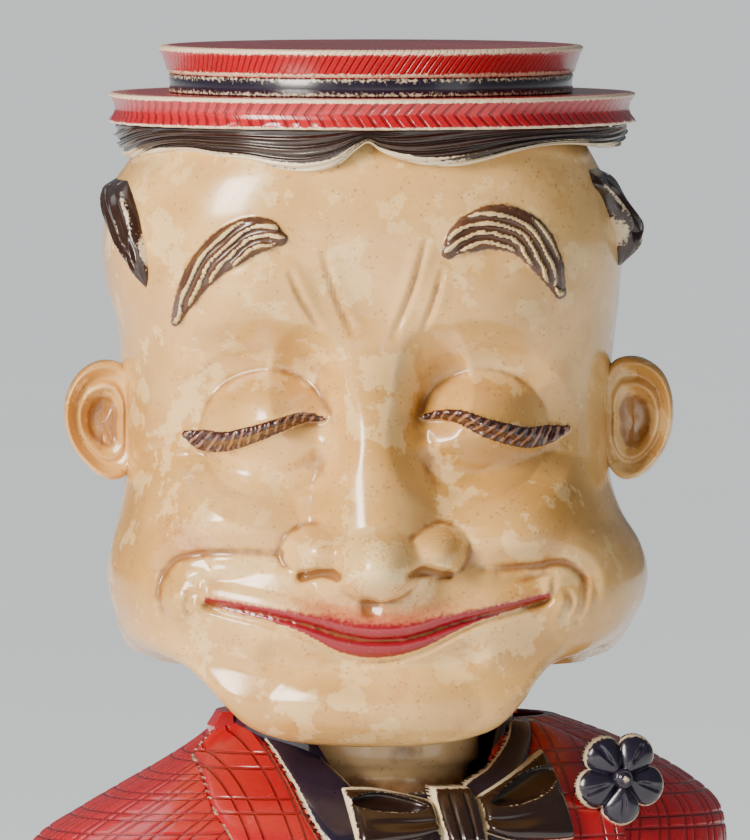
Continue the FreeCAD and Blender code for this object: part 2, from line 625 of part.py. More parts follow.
hat_band = turned("hat_band_blank", [
    ("sizes.crown_radius", brim_high), ("sizes.crown_radius + sizes.band_thick", brim_high),
    ("sizes.crown_radius + sizes.band_thick", "sizes.head_top + 0.2 + sizes.brim_thick + sizes.band_height"),
    ("sizes.crown_radius", "sizes.head_top + 0.2 + sizes.brim_thick + sizes.band_height"),
])
node(hat_band, "hat_band")
HAT_SCREWS = [(-15, -12), (15, -12), (0, 17)]
hat_screws = node(group("hat_screw_set", [
    wood_screw(f"hat_screw_{i}", (x, y, value_of(brim_high)), 22, up=False)
    for i, (x, y) in enumerate(HAT_SCREWS)
]), "hat_screws")
node(cut("hat_brim_cut", hat_brim, hat_screws), "hat_brim")
node(cut("crown_block_cut", crown_block, hat_screws), "crown_block")
node(cut("face_drilled", face_blank, hat_screws), "face_shell")
node(cut("back_drilled", rear_blank, hat_screws), "head_back")

# ---------------------------------------------------------------- check and write
doc.recompute()
for obj in doc.Objects:
    if {"Invalid", "Error"} & set(obj.State):
        raise RuntimeError(f"{obj.Name} ({obj.Label}) failed: {obj.State}")
os.makedirs("parts", exist_ok=True)
for name, obj in NODES.items():
    shape = obj.Shape
    if shape.isNull() or not shape.isValid() or not shape.Solids:
        raise RuntimeError(f"{name} has no valid solid")
    shape.exportStep(f"parts/{name}.step")
    bounds = shape.BoundBox
    print(f"{name:18s} solids {len(shape.Solids)} volume {shape.Volume / 1000:8.2f} cm3  "
          f"x {bounds.XMin:7.1f} {bounds.XMax:7.1f}  y {bounds.YMin:7.1f} {bounds.YMax:7.1f}  "
          f"z {bounds.ZMin:7.1f} {bounds.ZMax:7.1f}")
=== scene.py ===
import math

import bmesh
import bpy
import numpy as np
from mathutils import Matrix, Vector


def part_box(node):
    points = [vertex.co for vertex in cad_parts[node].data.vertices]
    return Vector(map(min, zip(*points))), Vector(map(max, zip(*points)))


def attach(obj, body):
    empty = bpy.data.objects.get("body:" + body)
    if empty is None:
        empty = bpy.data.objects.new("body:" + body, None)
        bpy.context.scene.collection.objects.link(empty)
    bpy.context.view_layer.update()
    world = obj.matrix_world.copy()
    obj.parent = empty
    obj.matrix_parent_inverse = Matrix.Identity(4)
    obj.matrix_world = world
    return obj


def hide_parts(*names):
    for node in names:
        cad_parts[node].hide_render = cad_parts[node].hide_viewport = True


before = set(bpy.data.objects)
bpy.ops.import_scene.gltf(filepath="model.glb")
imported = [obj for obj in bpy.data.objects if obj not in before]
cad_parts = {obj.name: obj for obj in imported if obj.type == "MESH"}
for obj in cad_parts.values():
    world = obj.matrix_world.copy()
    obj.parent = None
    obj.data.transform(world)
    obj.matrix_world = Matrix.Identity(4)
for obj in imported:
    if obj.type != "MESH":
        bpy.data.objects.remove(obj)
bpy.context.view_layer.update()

# ------------------------------------------------------------------ studio
# A wide pale floor lies under the figure. One large soft lamp stands high on the left, and weak ones fill
# from the right and below. Everything further down is drawn in millimetres and made metres in its mesh.
MM = 0.001
SIGHT = (0.0011, 0.0, 0.2141)  # the point that the camera looks at, on the axis of the head
REACH = 6.0  # how far off the camera stands
SHOWN_HEIGHT = 0.2352  # how much height the view takes in at the figure
SENSOR = 36  # the width of the camera's frame in millimetres
WELD = 2e-6  # points closer than this many metres are one
SLIVER = 1e-7  # faces thinner than this many metres are dropped
FLOOR_HALF = 60000.0  # the floor reaches this many millimetres each way


def put(tree, kind, inputs=None, **settings):
    """A new shader node: settings are its properties, each input a value or another node's output."""
    made = tree.nodes.new(kind)
    for key, value in settings.items():
        setattr(made, key, value)
    for key, value in (inputs or {}).items():
        if isinstance(value, bpy.types.NodeSocket):
            tree.links.new(value, made.inputs[key])
        else:
            made.inputs[key].default_value = value
    return made


def mixed(tree, share, first, second):
    """Colour between first and second by a share from 0 to 1."""
    return put(tree, "ShaderNodeMix", {0: share, 6: first, 7: second}, data_type="RGBA").outputs[2]


def new_material(name):
    """An empty node material and its tree, with the Principled shader joined to the output."""
    material = bpy.data.materials.new(name)
    material.use_nodes = True
    tree = material.node_tree
    tree.nodes.clear()
    shader = put(tree, "ShaderNodeBsdfPrincipled")
    put(tree, "ShaderNodeOutputMaterial", {"Surface": shader.outputs[0]})
    return material, tree, shader


def grid_faces(rows, columns, closed=False):
    """Quads of a grid of points numbered row by row. Closed joins the last column to the first."""
    r = np.arange(rows - 1)[:, None]
    c = np.arange(columns if closed else columns - 1)[None, :]
    after = (c + 1) % columns
    corners = [r * columns + c, r * columns + after, (r + 1) * columns + after, (r + 1) * columns + c]
    return np.stack(np.broadcast_arrays(*corners), axis=-1).reshape(-1, 4)


def make_piece(name, points, faces, material, body, paint=None, uv=None):
    """A smooth mesh from points in millimetres. Paint gives attributes, uv one pair for each point."""
    mesh = bpy.data.meshes.new(name)
    faces = faces.tolist() if isinstance(faces, np.ndarray) else faces
    mesh.from_pydata((np.asarray(points, float).reshape(-1, 3) * MM).tolist(), [], faces)
    for key, values in (paint or {}).items():
        layer = mesh.attributes.new(key, "FLOAT", "POINT")
        layer.data.foreach_set("value", np.asarray(values, np.float32).ravel())
    if uv is not None:
        corner = np.empty(len(mesh.loops), np.int32)
        mesh.loops.foreach_get("vertex_index", corner)
        layer = mesh.uv_layers.new(name="laid")
        layer.data.foreach_set("uv", (np.asarray(uv, float).reshape(-1, 2)[corner] * MM).ravel())
    work = bmesh.new()
    work.from_mesh(mesh)
    bmesh.ops.remove_doubles(work, verts=work.verts, dist=WELD)
    bmesh.ops.dissolve_degenerate(work, dist=SLIVER, edges=work.edges)
    bmesh.ops.recalc_face_normals(work, faces=work.faces)
    work.to_mesh(mesh)
    work.free()
    mesh.polygons.foreach_set("use_smooth", np.ones(len(mesh.polygons), bool))
    mesh.materials.append(material)
    made = bpy.data.objects.new(name, mesh)
    bpy.context.scene.collection.objects.link(made)
    if body:
        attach(made, body)
    return made


floor_reach = np.array([-FLOOR_HALF, FLOOR_HALF])
floor_parts = np.broadcast_arrays(floor_reach[None, :], floor_reach[:, None], np.zeros((2, 2)))
floor_points = np.stack(floor_parts, axis=-1)
paper, paper_tree, paper_shader = new_material("studio_paper")
paper_at = put(paper_tree, "ShaderNodeTexCoord").outputs["Object"]
paper_grain = put(paper_tree, "ShaderNodeTexNoise", {"Vector": paper_at, "Scale": 3.0})
paper_tone = mixed(paper_tree, paper_grain.outputs[0], (0.80, 0.82, 0.82, 1), (0.84, 0.86, 0.86, 1))
paper_tree.links.new(paper_tone, paper_shader.inputs["Base Color"])
paper_tree.links.new(paper_tone, paper_shader.inputs["Emission Color"])
paper_shader.inputs["Emission Strength"].default_value = 0.62
paper_shader.inputs["Roughness"].default_value = 0.85
floor = make_piece("studio_floor", floor_points, grid_faces(2, 2), paper, None)

elevation = math.radians(2.5)
camera = bpy.data.objects.new("camera", bpy.data.cameras.new("camera"))
camera.location = (SIGHT[0], -REACH * math.cos(elevation), SIGHT[2] + REACH * math.sin(elevation))
camera.rotation_euler = (math.pi / 2 - elevation, 0, 0)
camera.data.lens = SENSOR * REACH / SHOWN_HEIGHT
camera.data.clip_end = 200
bpy.context.scene.collection.objects.link(camera)
bpy.context.scene.camera = camera


def soft_lamp(name, place, size, power, colour):
    """An oblong lamp that faces the head."""
    lamp = bpy.data.lights.new(name, "AREA")
    lamp.shape = "RECTANGLE"
    lamp.size, lamp.size_y = size
    lamp.energy = power
    lamp.color = colour
    made = bpy.data.objects.new(name, lamp)
    made.location = place
    aim = np.array(SIGHT) - np.array(place)
    made.rotation_euler = (math.atan2(math.hypot(aim[0], aim[1]), -aim[2]), 0,
                           math.atan2(aim[1], aim[0]) - math.pi / 2)
    bpy.context.scene.collection.objects.link(made)


soft_lamp("key_lamp", (-0.95, -1.0, 0.74), (0.42, 0.72), 44.0, (1.0, 0.93, 0.83))
soft_lamp("fill_lamp", (1.3, -1.2, 0.30), (0.6, 0.8), 1.7, (0.95, 0.98, 0.95))
soft_lamp("low_lamp", (0.1, -1.6, 0.05), (0.9, 0.2), 1.6, (1.0, 0.96, 0.9))
sky = bpy.data.lights.new("sky_lamp", "SUN")
sky.energy, sky.angle, sky.color = 0.5, 0.6, (0.95, 0.98, 1.0)
sky_lamp = bpy.data.objects.new("sky_lamp", sky)
sky_lamp.rotation_euler = (math.radians(-24), math.radians(-20), 0)
bpy.context.scene.collection.objects.link(sky_lamp)
world = bpy.data.worlds.new("room")
world.use_nodes = True
world.node_tree.nodes["Background"].inputs[0].default_value = (0.80, 0.86, 0.92, 1)
world.node_tree.nodes["Background"].inputs[1].default_value = 0.18
bpy.context.scene.world = world

# ------------------------------------------------------------------ aged paint
# The whole figure is moulded, painted and rubbed back: hollows hold a brown wash that doubles as painted
# shade in them, ridges wear down to the cream ground, and fine specks of the wash lie everywhere under a
# thin gloss coat.
GROUND = (0.86, 0.70, 0.46, 1)
# The wash colour: specks and patches of dirt, and painted shade in hollows.
WASH_AND_SHADE = (0.105, 0.045, 0.016, 1)
BUMP_DEPTH = 0.0004  # metres


def sums(tree, operation, first, second=0.0):
    """One arithmetic step on two values."""
    return put(tree, "ShaderNodeMath", {0: first, 1: second}, operation=operation).outputs[0]


def times(tree, first, second):
    """The product of two values."""
    return sums(tree, "MULTIPLY", first, second)


def plus(tree, first, second):
    """The sum of two values."""
    return sums(tree, "ADD", first, second)


def minus(tree, first, second):
    """The first value less the second."""
    return sums(tree, "SUBTRACT", first, second)


def rise(tree, value, low, high):
    """Smooth step: 0 below low and 1 above high."""
    inputs = {"Value": value, "From Min": low, "From Max": high}
    return put(tree, "ShaderNodeMapRange", inputs, interpolation_type="SMOOTHSTEP").outputs[0]


def aged_group():
    """Shader group: wears a paint colour on ridges, fills hollows with wash and painted shade, and specks
    it.
    """
    tree = bpy.data.node_groups.new("aged_paint", "ShaderNodeTree")
    for name, kind, value in (("Paint", "Color", (0.5, 0.1, 0.1, 1)), ("Ground", "Color", GROUND),
                              ("WashAndShade", "Color", WASH_AND_SHADE), ("Ridge", "Float", 0.0), ("Hollow", "Float", 0.0),
                              ("Rub", "Float", 0.5), ("Specks", "Float", 0.3)):
        socket = tree.interface.new_socket(name, in_out="INPUT", socket_type=f"NodeSocket{kind}")
        socket.default_value = value
    for name, kind in (("Colour", "Color"), ("Roughness", "Float"), ("Height", "Float")):
        tree.interface.new_socket(name, in_out="OUTPUT", socket_type=f"NodeSocket{kind}")
    given = put(tree, "NodeGroupInput").outputs
    at = put(tree, "ShaderNodeTexCoord").outputs["Object"]
    cloud = put(tree, "ShaderNodeTexNoise", {"Vector": at, "Scale": 45.0, "Detail": 4.0}).outputs[0]
    patch = put(tree, "ShaderNodeTexNoise", {"Vector": at, "Scale": 240.0, "Detail": 5.0}).outputs[0]
    grain = put(tree, "ShaderNodeTexNoise", {"Vector": at, "Scale": 1100.0, "Detail": 3.0}).outputs[0]
    dots = put(tree, "ShaderNodeTexVoronoi", {"Vector": at, "Scale": 620.0}).outputs["Distance"]
    darker = put(tree, "ShaderNodeHueSaturation",
                 {"Value": 0.78, "Saturation": 1.05, "Color": given["Paint"]}).outputs[0]
    shade = mixed(tree, times(tree, rise(tree, cloud, 0.42, 0.7), 0.6), given["Paint"], darker)
    # Hollows take the wash as brown wash and painted shade; loose patches of it are grime.
    loose = plus(tree, given["Hollow"], times(tree, minus(tree, patch, 0.5), 0.9))
    shade = mixed(tree, times(tree, rise(tree, loose, 0.22, 0.9), 0.85), shade, given["WashAndShade"])
    speck = times(tree, rise(tree, dots, 0.34, 0.12), rise(tree, patch, 0.46, 0.62))
    shade = mixed(tree, times(tree, speck, given["Specks"]), shade, given["WashAndShade"])
    rough_edge = plus(tree, given["Ridge"], times(tree, minus(tree, grain, 0.5), 0.8))
    worn = times(tree, rise(tree, rough_edge, 0.38, 0.62), given["Rub"])
    shade = mixed(tree, worn, shade, given["Ground"])
    rough = plus(tree, times(tree, patch, 0.22), times(tree, worn, 0.2))
    rough = plus(tree, rough, 0.13)
    height = minus(tree, times(tree, patch, 0.35), times(tree, worn, 0.35))
    height = plus(tree, height, times(tree, grain, 0.12))
    height = minus(tree, height, times(tree, given["Hollow"], 1.4))
    put(tree, "NodeGroupOutput", {"Colour": shade, "Roughness": rough, "Height": height})
    return tree


AGED = aged_group()


def attribute(tree, name):
    """The value of a painted mesh attribute, 0 where the mesh has none."""
    return put(tree, "ShaderNodeAttribute", attribute_name=name).outputs["Fac"]


def aged_material(name, paint, ground=GROUND, wash_and_shade=WASH_AND_SHADE, rub=0.8, specks=0.3, bump=0.25, recolour=None,
                  hollow=None):
    """Aged gloss paint. recolour gives the colour to age, and hollow the mask of its cuts."""
    material, tree, shader = new_material(name)
    colour = recolour(tree, paint) if recolour else paint
    aged = put(tree, "ShaderNodeGroup", {
        "Paint": colour, "Ground": ground, "WashAndShade": wash_and_shade, "Rub": rub, "Specks": specks,
        "Ridge": attribute(tree, "ridge"),
        "Hollow": hollow(tree) if hollow else attribute(tree, "hollow"),
    }, node_tree=AGED)
    tree.links.new(aged.outputs["Colour"], shader.inputs["Base Color"])
    tree.links.new(aged.outputs["Roughness"], shader.inputs["Roughness"])
    bumped = put(tree, "ShaderNodeBump",
                 {"Height": aged.outputs["Height"], "Strength": bump, "Distance": BUMP_DEPTH})
    tree.links.new(bumped.outputs[0], shader.inputs["Normal"])
    shader.inputs["Coat Weight"].default_value = 0.35
    shader.inputs["Coat Roughness"].default_value = 0.12
    return material


# ------------------------------------------------------------------ face
# A hard moulded face: heavy jaw, round cheeks, long nose, closed eyes and a closed grin. It is one cast
# shell from the chin to under the hat, and its underside turns up into a round well that clears the neck.
TOP = 296.9  # height of the skin under the hat
WELL = 47.0  # radius of the well
ROOF = 148.0  # height of the well's ceiling
BULK = 2.5  # how square the head is in plan
HEAD_LEFT = [(125, 70), (150, 70.5), (158, 71), (165, 73), (172, 73.8), (180, 72.5), (188, 70.4), (197, 69),
             (213, 68.8), (229, 70.2), (241, 71), (250, 73.6), (266, 75.2), (280, 72.4), (289, 66),
             (298, 59)]
HEAD_RIGHT = [(125, 70), (150, 70.5), (158, 73), (165, 76.4), (172, 77.4), (180, 75.3), (188, 70.4),
              (197, 67.3), (213, 66.8), (229, 67.4), (241, 68.6), (250, 69.6), (266, 70), (280, 66),
              (289, 61.5), (298, 56)]
HEAD_FRONT = [(125, 55), (130, 59), (138, 61), (148, 59.5), (158, 61), (175, 61), (190, 58), (205, 55.5),
              (218, 55), (232, 57), (248, 61), (262, 64), (278, 64), (290, 61), (298, 56)]
HEAD_BACK = [(125, 40), (143, 42), (152, 50), (167, 58), (180, 63), (194, 68), (213, 73), (235, 75),
             (252, 74), (268, 71), (283, 67), (298, 59)]
JAW_EDGE = [(-90, 150), (-69, 150.6), (-62, 149.4), (-54, 146.3), (-48, 141.5), (-43.5, 137), (-36.5, 131),
            (-27, 127.6), (-12, 125.8), (4, 125.5), (18, 126), (30, 128), (38, 131), (44.5, 137),
            (48.5, 142.5), (53, 147), (62, 150), (71, 152), (90, 152)]


def flow(x, known):
    """Smooth curve through known (x, y) pairs: cubic runs, each point's slope the mean of its two sides."""
    xs, ys = np.array(known, float).T
    run = np.diff(ys) / np.diff(xs)
    slope = np.concatenate([run[:1], (run[:-1] + run[1:]) / 2, run[-1:]])
    i = np.clip(np.searchsorted(xs, x) - 1, 0, len(xs) - 2)
    width = xs[i + 1] - xs[i]
    t = np.clip((x - xs[i]) / width, 0, 1)
    return ((2 * t**3 - 3 * t**2 + 1) * ys[i] + (t**3 - 2 * t**2 + t) * width * slope[i]
            + (3 * t**2 - 2 * t**3) * ys[i + 1] + (t**3 - t**2) * width * slope[i + 1])


def step(value, low, high):
    """Smooth step: 0 at low, 1 at high."""
    t = np.clip((value - low) / (high - low), 0, 1)
    return t * t * (3 - 2 * t)


def plan_point(angle, z, sides, bulk, grow):
    """Point of a rounded oblong at a height, between the left, right, front and back outlines."""
    left, right = -flow(z, sides[0]) - grow, flow(z, sides[1]) + grow
    front, back = -flow(z, sides[2]) - grow, flow(z, sides[3]) + grow
    c, s = np.cos(angle), np.sin(angle)
    x = (left + right) / 2 + (right - left) / 2 * np.sign(c) * np.abs(c) ** (2 / bulk)
    y = (front + back) / 2 + (back - front) / 2 * np.sign(s) * np.abs(s) ** (2 / bulk)
    return x, y


def head_point(angle, z, grow=0.0):
    """Point of the head's plan at a height."""
    return plan_point(angle, z, (HEAD_LEFT, HEAD_RIGHT, HEAD_FRONT, HEAD_BACK), BULK, grow)


def along(points, count=90):
    """A smooth line through given points: each coordinate flows over the length walked so far."""
    points = np.array(points, float)
    walked = np.concatenate([[0], np.cumsum(np.linalg.norm(np.diff(points[:, :2], axis=0), axis=1))])
    t = np.linspace(0, walked[-1], count)
    return np.stack([flow(t, list(zip(walked, points[:, k]))) for k in range(points.shape[1])], axis=-1)


def hump(distance, half):
    """A rounded ridge: 1 on the line, 0 at half away."""
    t = np.clip(distance / half, 0, 1)
    return (1 - t * t) ** 2


EYES = [
    {"lid": ((-29.0, 212.5), (18.6, 17.6)),
     "lash": [(-51.5, 211.8, 1.0), (-47, 210.4, 2.6), (-41, 210.2, 2.5), (-33.5, 212.3, 2.2),
              (-26, 215, 1.8), (-18.5, 217.2, 1.3), (-13.5, 216.8, 0.6)],
     "bag": [(-49, 208), (-43, 203.4), (-35, 200.6), (-27, 200.4), (-18, 203.5), (-12.5, 209)]},
    {"lid": ((31.0, 212.5), (18.6, 17.6)),
     "lash": [(14.5, 217.2, 0.6), (20, 217.9, 1.3), (25.5, 217.2, 1.8), (31.5, 214.6, 2.3),
              (37.8, 212.6, 2.6), (44, 211.2, 2.6), (50, 212, 2.2), (54.5, 213.2, 0.8)],
     "bag": [(14.5, 211), (19, 205.5), (26, 202), (33, 201.2), (42, 203.5), (50, 208.5)]},
]
BROWS = [
    [(-25, 267, 1.5), (-28, 268, 4.2), (-32, 268, 5.2), (-39.2, 264.7, 5.7), (-46.5, 258.2, 4.4),
     (-51.2, 250.7, 2.7), (-54.4, 243.4, 0.7)],
    [(21.5, 263.5, 1.6), (25, 267, 4.3), (34.4, 270.2, 6.4), (43.1, 267.4, 6.0), (48.6, 260.5, 4.4),
     (52.6, 251.6, 1.2)],
]
FROWNS = [[(-22.3, 257.5), (-19, 250), (-14.3, 242.8)], [(-13, 262.4), (-10, 252), (-4.9, 240.5)],
          [(15.3, 266.2), (11.5, 253), (6.4, 240)], [(19.8, 257.8), (17.6, 250), (14.8, 242.3)]]
SMILES = [[(-24, 179.6), (-35.8, 179.8), (-47.3, 179.2), (-54.6, 176.8), (-58.6, 169.8), (-57.4, 161.9),
           (-52.9, 157)],
          [(31, 175.2), (45.4, 176), (54, 176.4), (59, 172.4), (59.4, 166.4), (57, 160)]]
CORNERS = [[(-49.5, 168.4), (-51, 165), (-49.8, 161)], [(54, 169.6), (55.4, 166), (53.6, 161.6)]]
GRIN = [(-46.8, 165.8), (-36, 164), (-25.5, 162), (-18.5, 160.2), (-12.9, 158.6), (-7.6, 157), (-0.6, 155.9),
        (6.7, 155.9), (13.7, 157.2), (21, 159.7), (30.2, 162.3), (39.8, 164.5), (50.2, 167)]
LIP_DEPTH = [(-46.8, 0.4), (-40, 1.2), (-28, 1.8), (-19, 2.6), (-11, 4.6), (-3, 5.4), (5, 5.0), (12, 4.2),
             (20, 3.0), (28, 1.6), (38, 0.9), (50, 0.3)]


def relief(height, reach=3):
    """How far each grid value stands above the mean of its neighbours, blurred reach times."""
    smooth = height.copy()
    for _ in range(reach):
        wide = np.pad(smooth, 1, mode="edge")
        smooth = (wide[:-2, 1:-1] + wide[2:, 1:-1] + wide[1:-1, :-2] + wide[1:-1, 2:] + wide[1:-1, 1:-1]) / 5
    return height - smooth


FACE_ROWS, FACE_COLUMNS = 286, 324
face_angle = np.linspace(math.pi, 2 * math.pi, FACE_COLUMNS)[None, :]


def head_grid(angle, rows):
    """The head's skin over a span of angles: well and underside, outer wall, and the closed top."""
    edge_x, _ = head_point(angle, np.full_like(angle, 150.0))
    low = flow(edge_x, JAW_EDGE)
    low = low + (ROOF - 0.5 - low) * step(np.sin(angle), -0.12, 0.12)
    share = np.linspace(0, 1, rows - 12)[:, None]
    z = low + (TOP - low) * share
    tuck = np.clip(1 - (z - low) / 9.0, 0, 1)
    x, y = head_point(angle, z)
    inset = 1 - (0.06 + 0.06 * np.abs(np.cos(angle)) ** 2) * (1 - np.sqrt(1 - tuck**2))
    shape_x, shape_y = x * inset, y * inset
    first = np.hypot(shape_x[0], shape_y[0])
    way_x, way_y = shape_x[0] / first, shape_y[0] / first
    rim = low[0] + 1.5 + 2.5 * step(np.sin(angle[0]), -1, 0)
    under = []
    for radius, height in ((27.5, ROOF), (WELL - 1.5, ROOF), (WELL, ROOF - 1)):
        under.append(np.stack([way_x * radius, way_y * radius, np.full_like(way_x, height)], axis=-1))
    for share_out in (0.0, 0.06, 0.3, 0.6, 0.88):
        radius = WELL + (first - WELL) * share_out
        height = np.minimum(rim + (low[0] - rim) * share_out**2, ROOF - 0.4)
        height = height + 1.2 * (1 - step(np.full_like(height, share_out), 0, 0.1))
        under.append(np.stack([way_x * radius, way_y * radius, height], axis=-1))
    crown = []
    for radius in (0.97, 0.8, 0.4, 0.0):
        level = np.full_like(way_x, TOP + 0.2)
        crown.append(np.stack([shape_x[-1] * radius, shape_y[-1] * radius, level], axis=-1))
    skin = np.stack([shape_x, shape_y, z], axis=-1)
    return under, skin, crown


under, skin, crown = head_grid(face_angle, FACE_ROWS)
fx, fy, fz = skin[..., 0], skin[..., 1], skin[..., 2]
forward = step(-np.sin(face_angle), 0.02, 0.45) * np.ones_like(fz)


def near(points, count=90):
    """For each place of the face: distance to a line, share of its length there, side (+ above), width."""
    line = along(points, count)
    best = np.full(fx.shape, 1e9)
    share = np.zeros(fx.shape)
    side = np.zeros(fx.shape)
    width = np.zeros(fx.shape)
    for k in range(count):
        gap = np.hypot(fx - line[k, 0], fz - line[k, 1])
        closer = gap < best
        best = np.where(closer, gap, best)
        share = np.where(closer, k / (count - 1), share)
        side = np.where(closer, np.sign(fz - line[k, 1]), side)
        if line.shape[1] > 2:
            width = np.where(closer, line[k, 2], width)
    return best, share, side, width


def groove(points, half):
    """A rounded ridge along a line of the face."""
    return hump(near(points)[0], half)


def dome(centre, half, power=0.8):
    """A rounded cap on an oval of the face: 1 at its centre, 0 at its rim."""
    q = ((fx - centre[0]) / half[0]) ** 2 + ((fz - centre[1]) / half[1]) ** 2
    return np.clip(1 - q, 0, 1) ** power


carve = np.zeros_like(fz)
# broad forms: brow shelf, sockets, cheeks, chin and the dip below the lip
for cx in (-38, 38):
    carve += 3.5 * dome((cx, 250), (26, 16), 1.5)
    carve -= 5.0 * dome((cx * 0.82, 233), (24, 12), 1.5)
    carve -= 5.5 * dome((cx * 0.46, 226), (11, 18), 1.3)
    carve -= 3.5 * dome((cx * 0.85, 203), (26, 9), 1.4)
carve += 8.5 * dome((-46, 189), (26, 18), 1.4) + 8.5 * dome((48, 189), (26, 18), 1.4)
carve += 5.0 * dome((-60, 168), (16, 20), 1.4) + 5.0 * dome((63, 168), (16, 20), 1.4)
carve += 3.0 * dome((1, 160), (52, 20), 1.3)
carve += 4.5 * dome((1, 137), (30, 13), 1.2)
carve -= 2.2 * groove([(-26, 150.5), (-10, 146.5), (1, 145.8), (12, 146.5), (27, 151)], 7)
# closed eyes: round lids in sunk sockets, a row of thick lashes and a soft bag below
lash = np.zeros_like(fz)
lash_strand = np.zeros_like(fz)
for eye in EYES:
    centre, half = eye["lid"]
    gap, share, side, width = near(eye["lash"])
    width = width * 1.25
    over = step(gap * side, -1.6, 0.6)
    carve -= 4.5 * dome(centre, (half[0] + 8, half[1] + 8), 0.9)
    carve += (13.5 * dome(centre, half, 1.0) * over
              + 8.5 * dome(centre, half, 1.1) * (1 - over))
    carve -= 0.7 * groove(eye["bag"], 3.2)
    band = step(gap, width * 1.05 + 0.1, width * 0.75)
    strand = 0.5 + 0.5 * np.cos(2 * math.pi * (share * 15 - gap * side * 0.24))
    carve += band * (0.3 + 1.2 * strand)
    lash = np.maximum(lash, band)
    lash_strand = np.maximum(lash_strand, band * strand)
# brows: a moulded pad of combed strands
brow = np.zeros_like(fz)
brow_strand = np.zeros_like(fz)
for line in BROWS:
    gap, share, side, width = near(line)
    pad = step(gap, width, width * 0.72)
    drift = share * 2.4 + 0.08 * np.sin(share * 21) + 0.05 * np.sin(gap * 2 + share * 41)
    comb = (0.5 + 0.5 * np.sin(2 * math.pi * (gap * side / 2.7 + drift))) ** 3.2
    carve += pad * (1.5 + 1.9 * comb)
    brow = np.maximum(brow, step(gap, width + 1.4, width * 0.72))
    brow_strand = np.maximum(brow_strand, pad * comb)
for line in FROWNS:
    gap, share, _, _ = near(line)
    ends = np.sin(math.pi * np.clip(share, 0.04, 0.96)) ** 0.4
    carve -= 1.7 * hump(gap, 1.5) * ends - 0.7 * hump(gap, 5.0) * ends
# nose: a straight narrow bridge, a hanging round tip and two wings
bridge_gap, _, _, bridge_width = near(
    [(-0.8, 240, 8.5), (-0.6, 228, 8.2), (0, 212, 8.6), (0.8, 196, 9.6), (1.4, 184, 10.5), (1.6, 176, 10)])
bridge = hump(bridge_gap, bridge_width * 1.8)
bridge_high = flow(fz, [(166, 0), (172, 10), (178, 13), (188, 12), (205, 9.5), (222, 6.5), (236, 3.0),
                        (246, 0)])
swells = (bridge_high * bridge**0.72,
          16.4 * dome((1.8, 177.0), (12.6, 10.6), 0.7),
          10.0 * dome((-14.6, 180.6), (11.0, 7.4), 1.0),
          10.5 * dome((18.0, 180.6), (9.6, 7.8), 0.95))
nose = sum(swell**2.4 for swell in swells) ** (1 / 2.4)
carve += nose
nostril = groove([(-19, 173.2), (-14.5, 174.6), (-9.2, 173.6)], 2.4)
nostril = np.maximum(nostril, groove([(10.8, 174.2), (15.5, 175.2), (21.5, 174)], 2.2))
carve -= 2.6 * nostril
wing_crease = groove([(11.8, 184.6), (16.8, 187.2), (22.5, 186), (26.2, 181.8), (25.2, 176)], 1.5)
left_crease = [(-20.5, 186.4), (-24.8, 181.6), (-24.2, 176.4)]
wing_crease = np.maximum(wing_crease, 0.6 * groove(left_crease, 1.8))
carve -= 0.5 * wing_crease
philtrum = dome((-0.4, 165), (3.4, 4.2), 1.2)
carve -= 2.2 * philtrum
# grin: a long closed line between two lips, with deep folds round its ends
lip_gap, _, lip_side, _ = near(GRIN)
lip_depth = flow(fx, LIP_DEPTH)
lip_inside = step(fx, -47.5, -45.5) * step(fx, 51, 49)
below = (lip_side < 0) * lip_inside
above = (lip_side > 0) * lip_inside
lower_lip = below * step(lip_gap, lip_depth * 1.05, lip_depth * 0.85)
upper_tall = 1.9 + 3.4 * np.exp(-((fx - 1) / 22) ** 2)
upper_lip = above * step(lip_gap, upper_tall * 1.7, upper_tall * 0.15)
carve += 1.9 * below * np.clip(1 - ((lip_gap - lip_depth * 0.5) / (lip_depth * 0.75)) ** 2, 0, 1)
carve += 1.7 * above * np.clip(1 - ((lip_gap - 2.4) / 4.2) ** 2, 0, 1)
carve -= 1.7 * hump(lip_gap, 1.5) * lip_inside
carve -= 1.3 * below * hump(lip_gap - lip_depth - 0.9, 1.1)
folds = np.zeros_like(fz)
valleys = np.zeros_like(fz)
for line in SMILES + CORNERS:
    gap, share, _, _ = near(line)
    ends = np.sin(math.pi * np.clip(share, 0.05, 0.95)) ** 0.5
    folds = np.maximum(folds, hump(gap, 1.9) * ends)
    carve += 1.2 * hump(gap - 4.6, 3.4) * ends
    valley = hump(gap, 9.0) * ends * (line in SMILES)
    valleys = np.maximum(valleys, valley)
    carve -= 4.6 * valley
carve -= 1.2 * folds
for line in ([(-66, 210.5), (-60, 211.2), (-54.6, 212.3)], [(-64, 205.8), (-59, 207.6), (-55, 209.6)]):
    carve -= 0.8 * groove(line, 1.1)

carve *= forward
face_skin = np.stack([fx, fy - carve, fz], axis=-1)
bump_up = relief(carve, 14)
blush = above * step(lip_gap, 14, 3.0) * np.exp(-((fx - 1) / 26) ** 2) * 1.1
blush = np.maximum(blush, 0.45 * above * step(lip_gap, 7, 1.5))
blush = np.maximum(blush, 0.5 * dome((-50, 183), (14, 10), 1) + 0.3 * dome((50, 183), (14, 10), 1))
lips = np.maximum(lower_lip, upper_lip)


def padded_rows(values):
    """A value of the outer wall, kept at 0 on the hidden rows below and above it."""
    columns = values.shape[1]
    return np.vstack([np.zeros((len(under), columns)), values, np.zeros((len(crown), columns))])


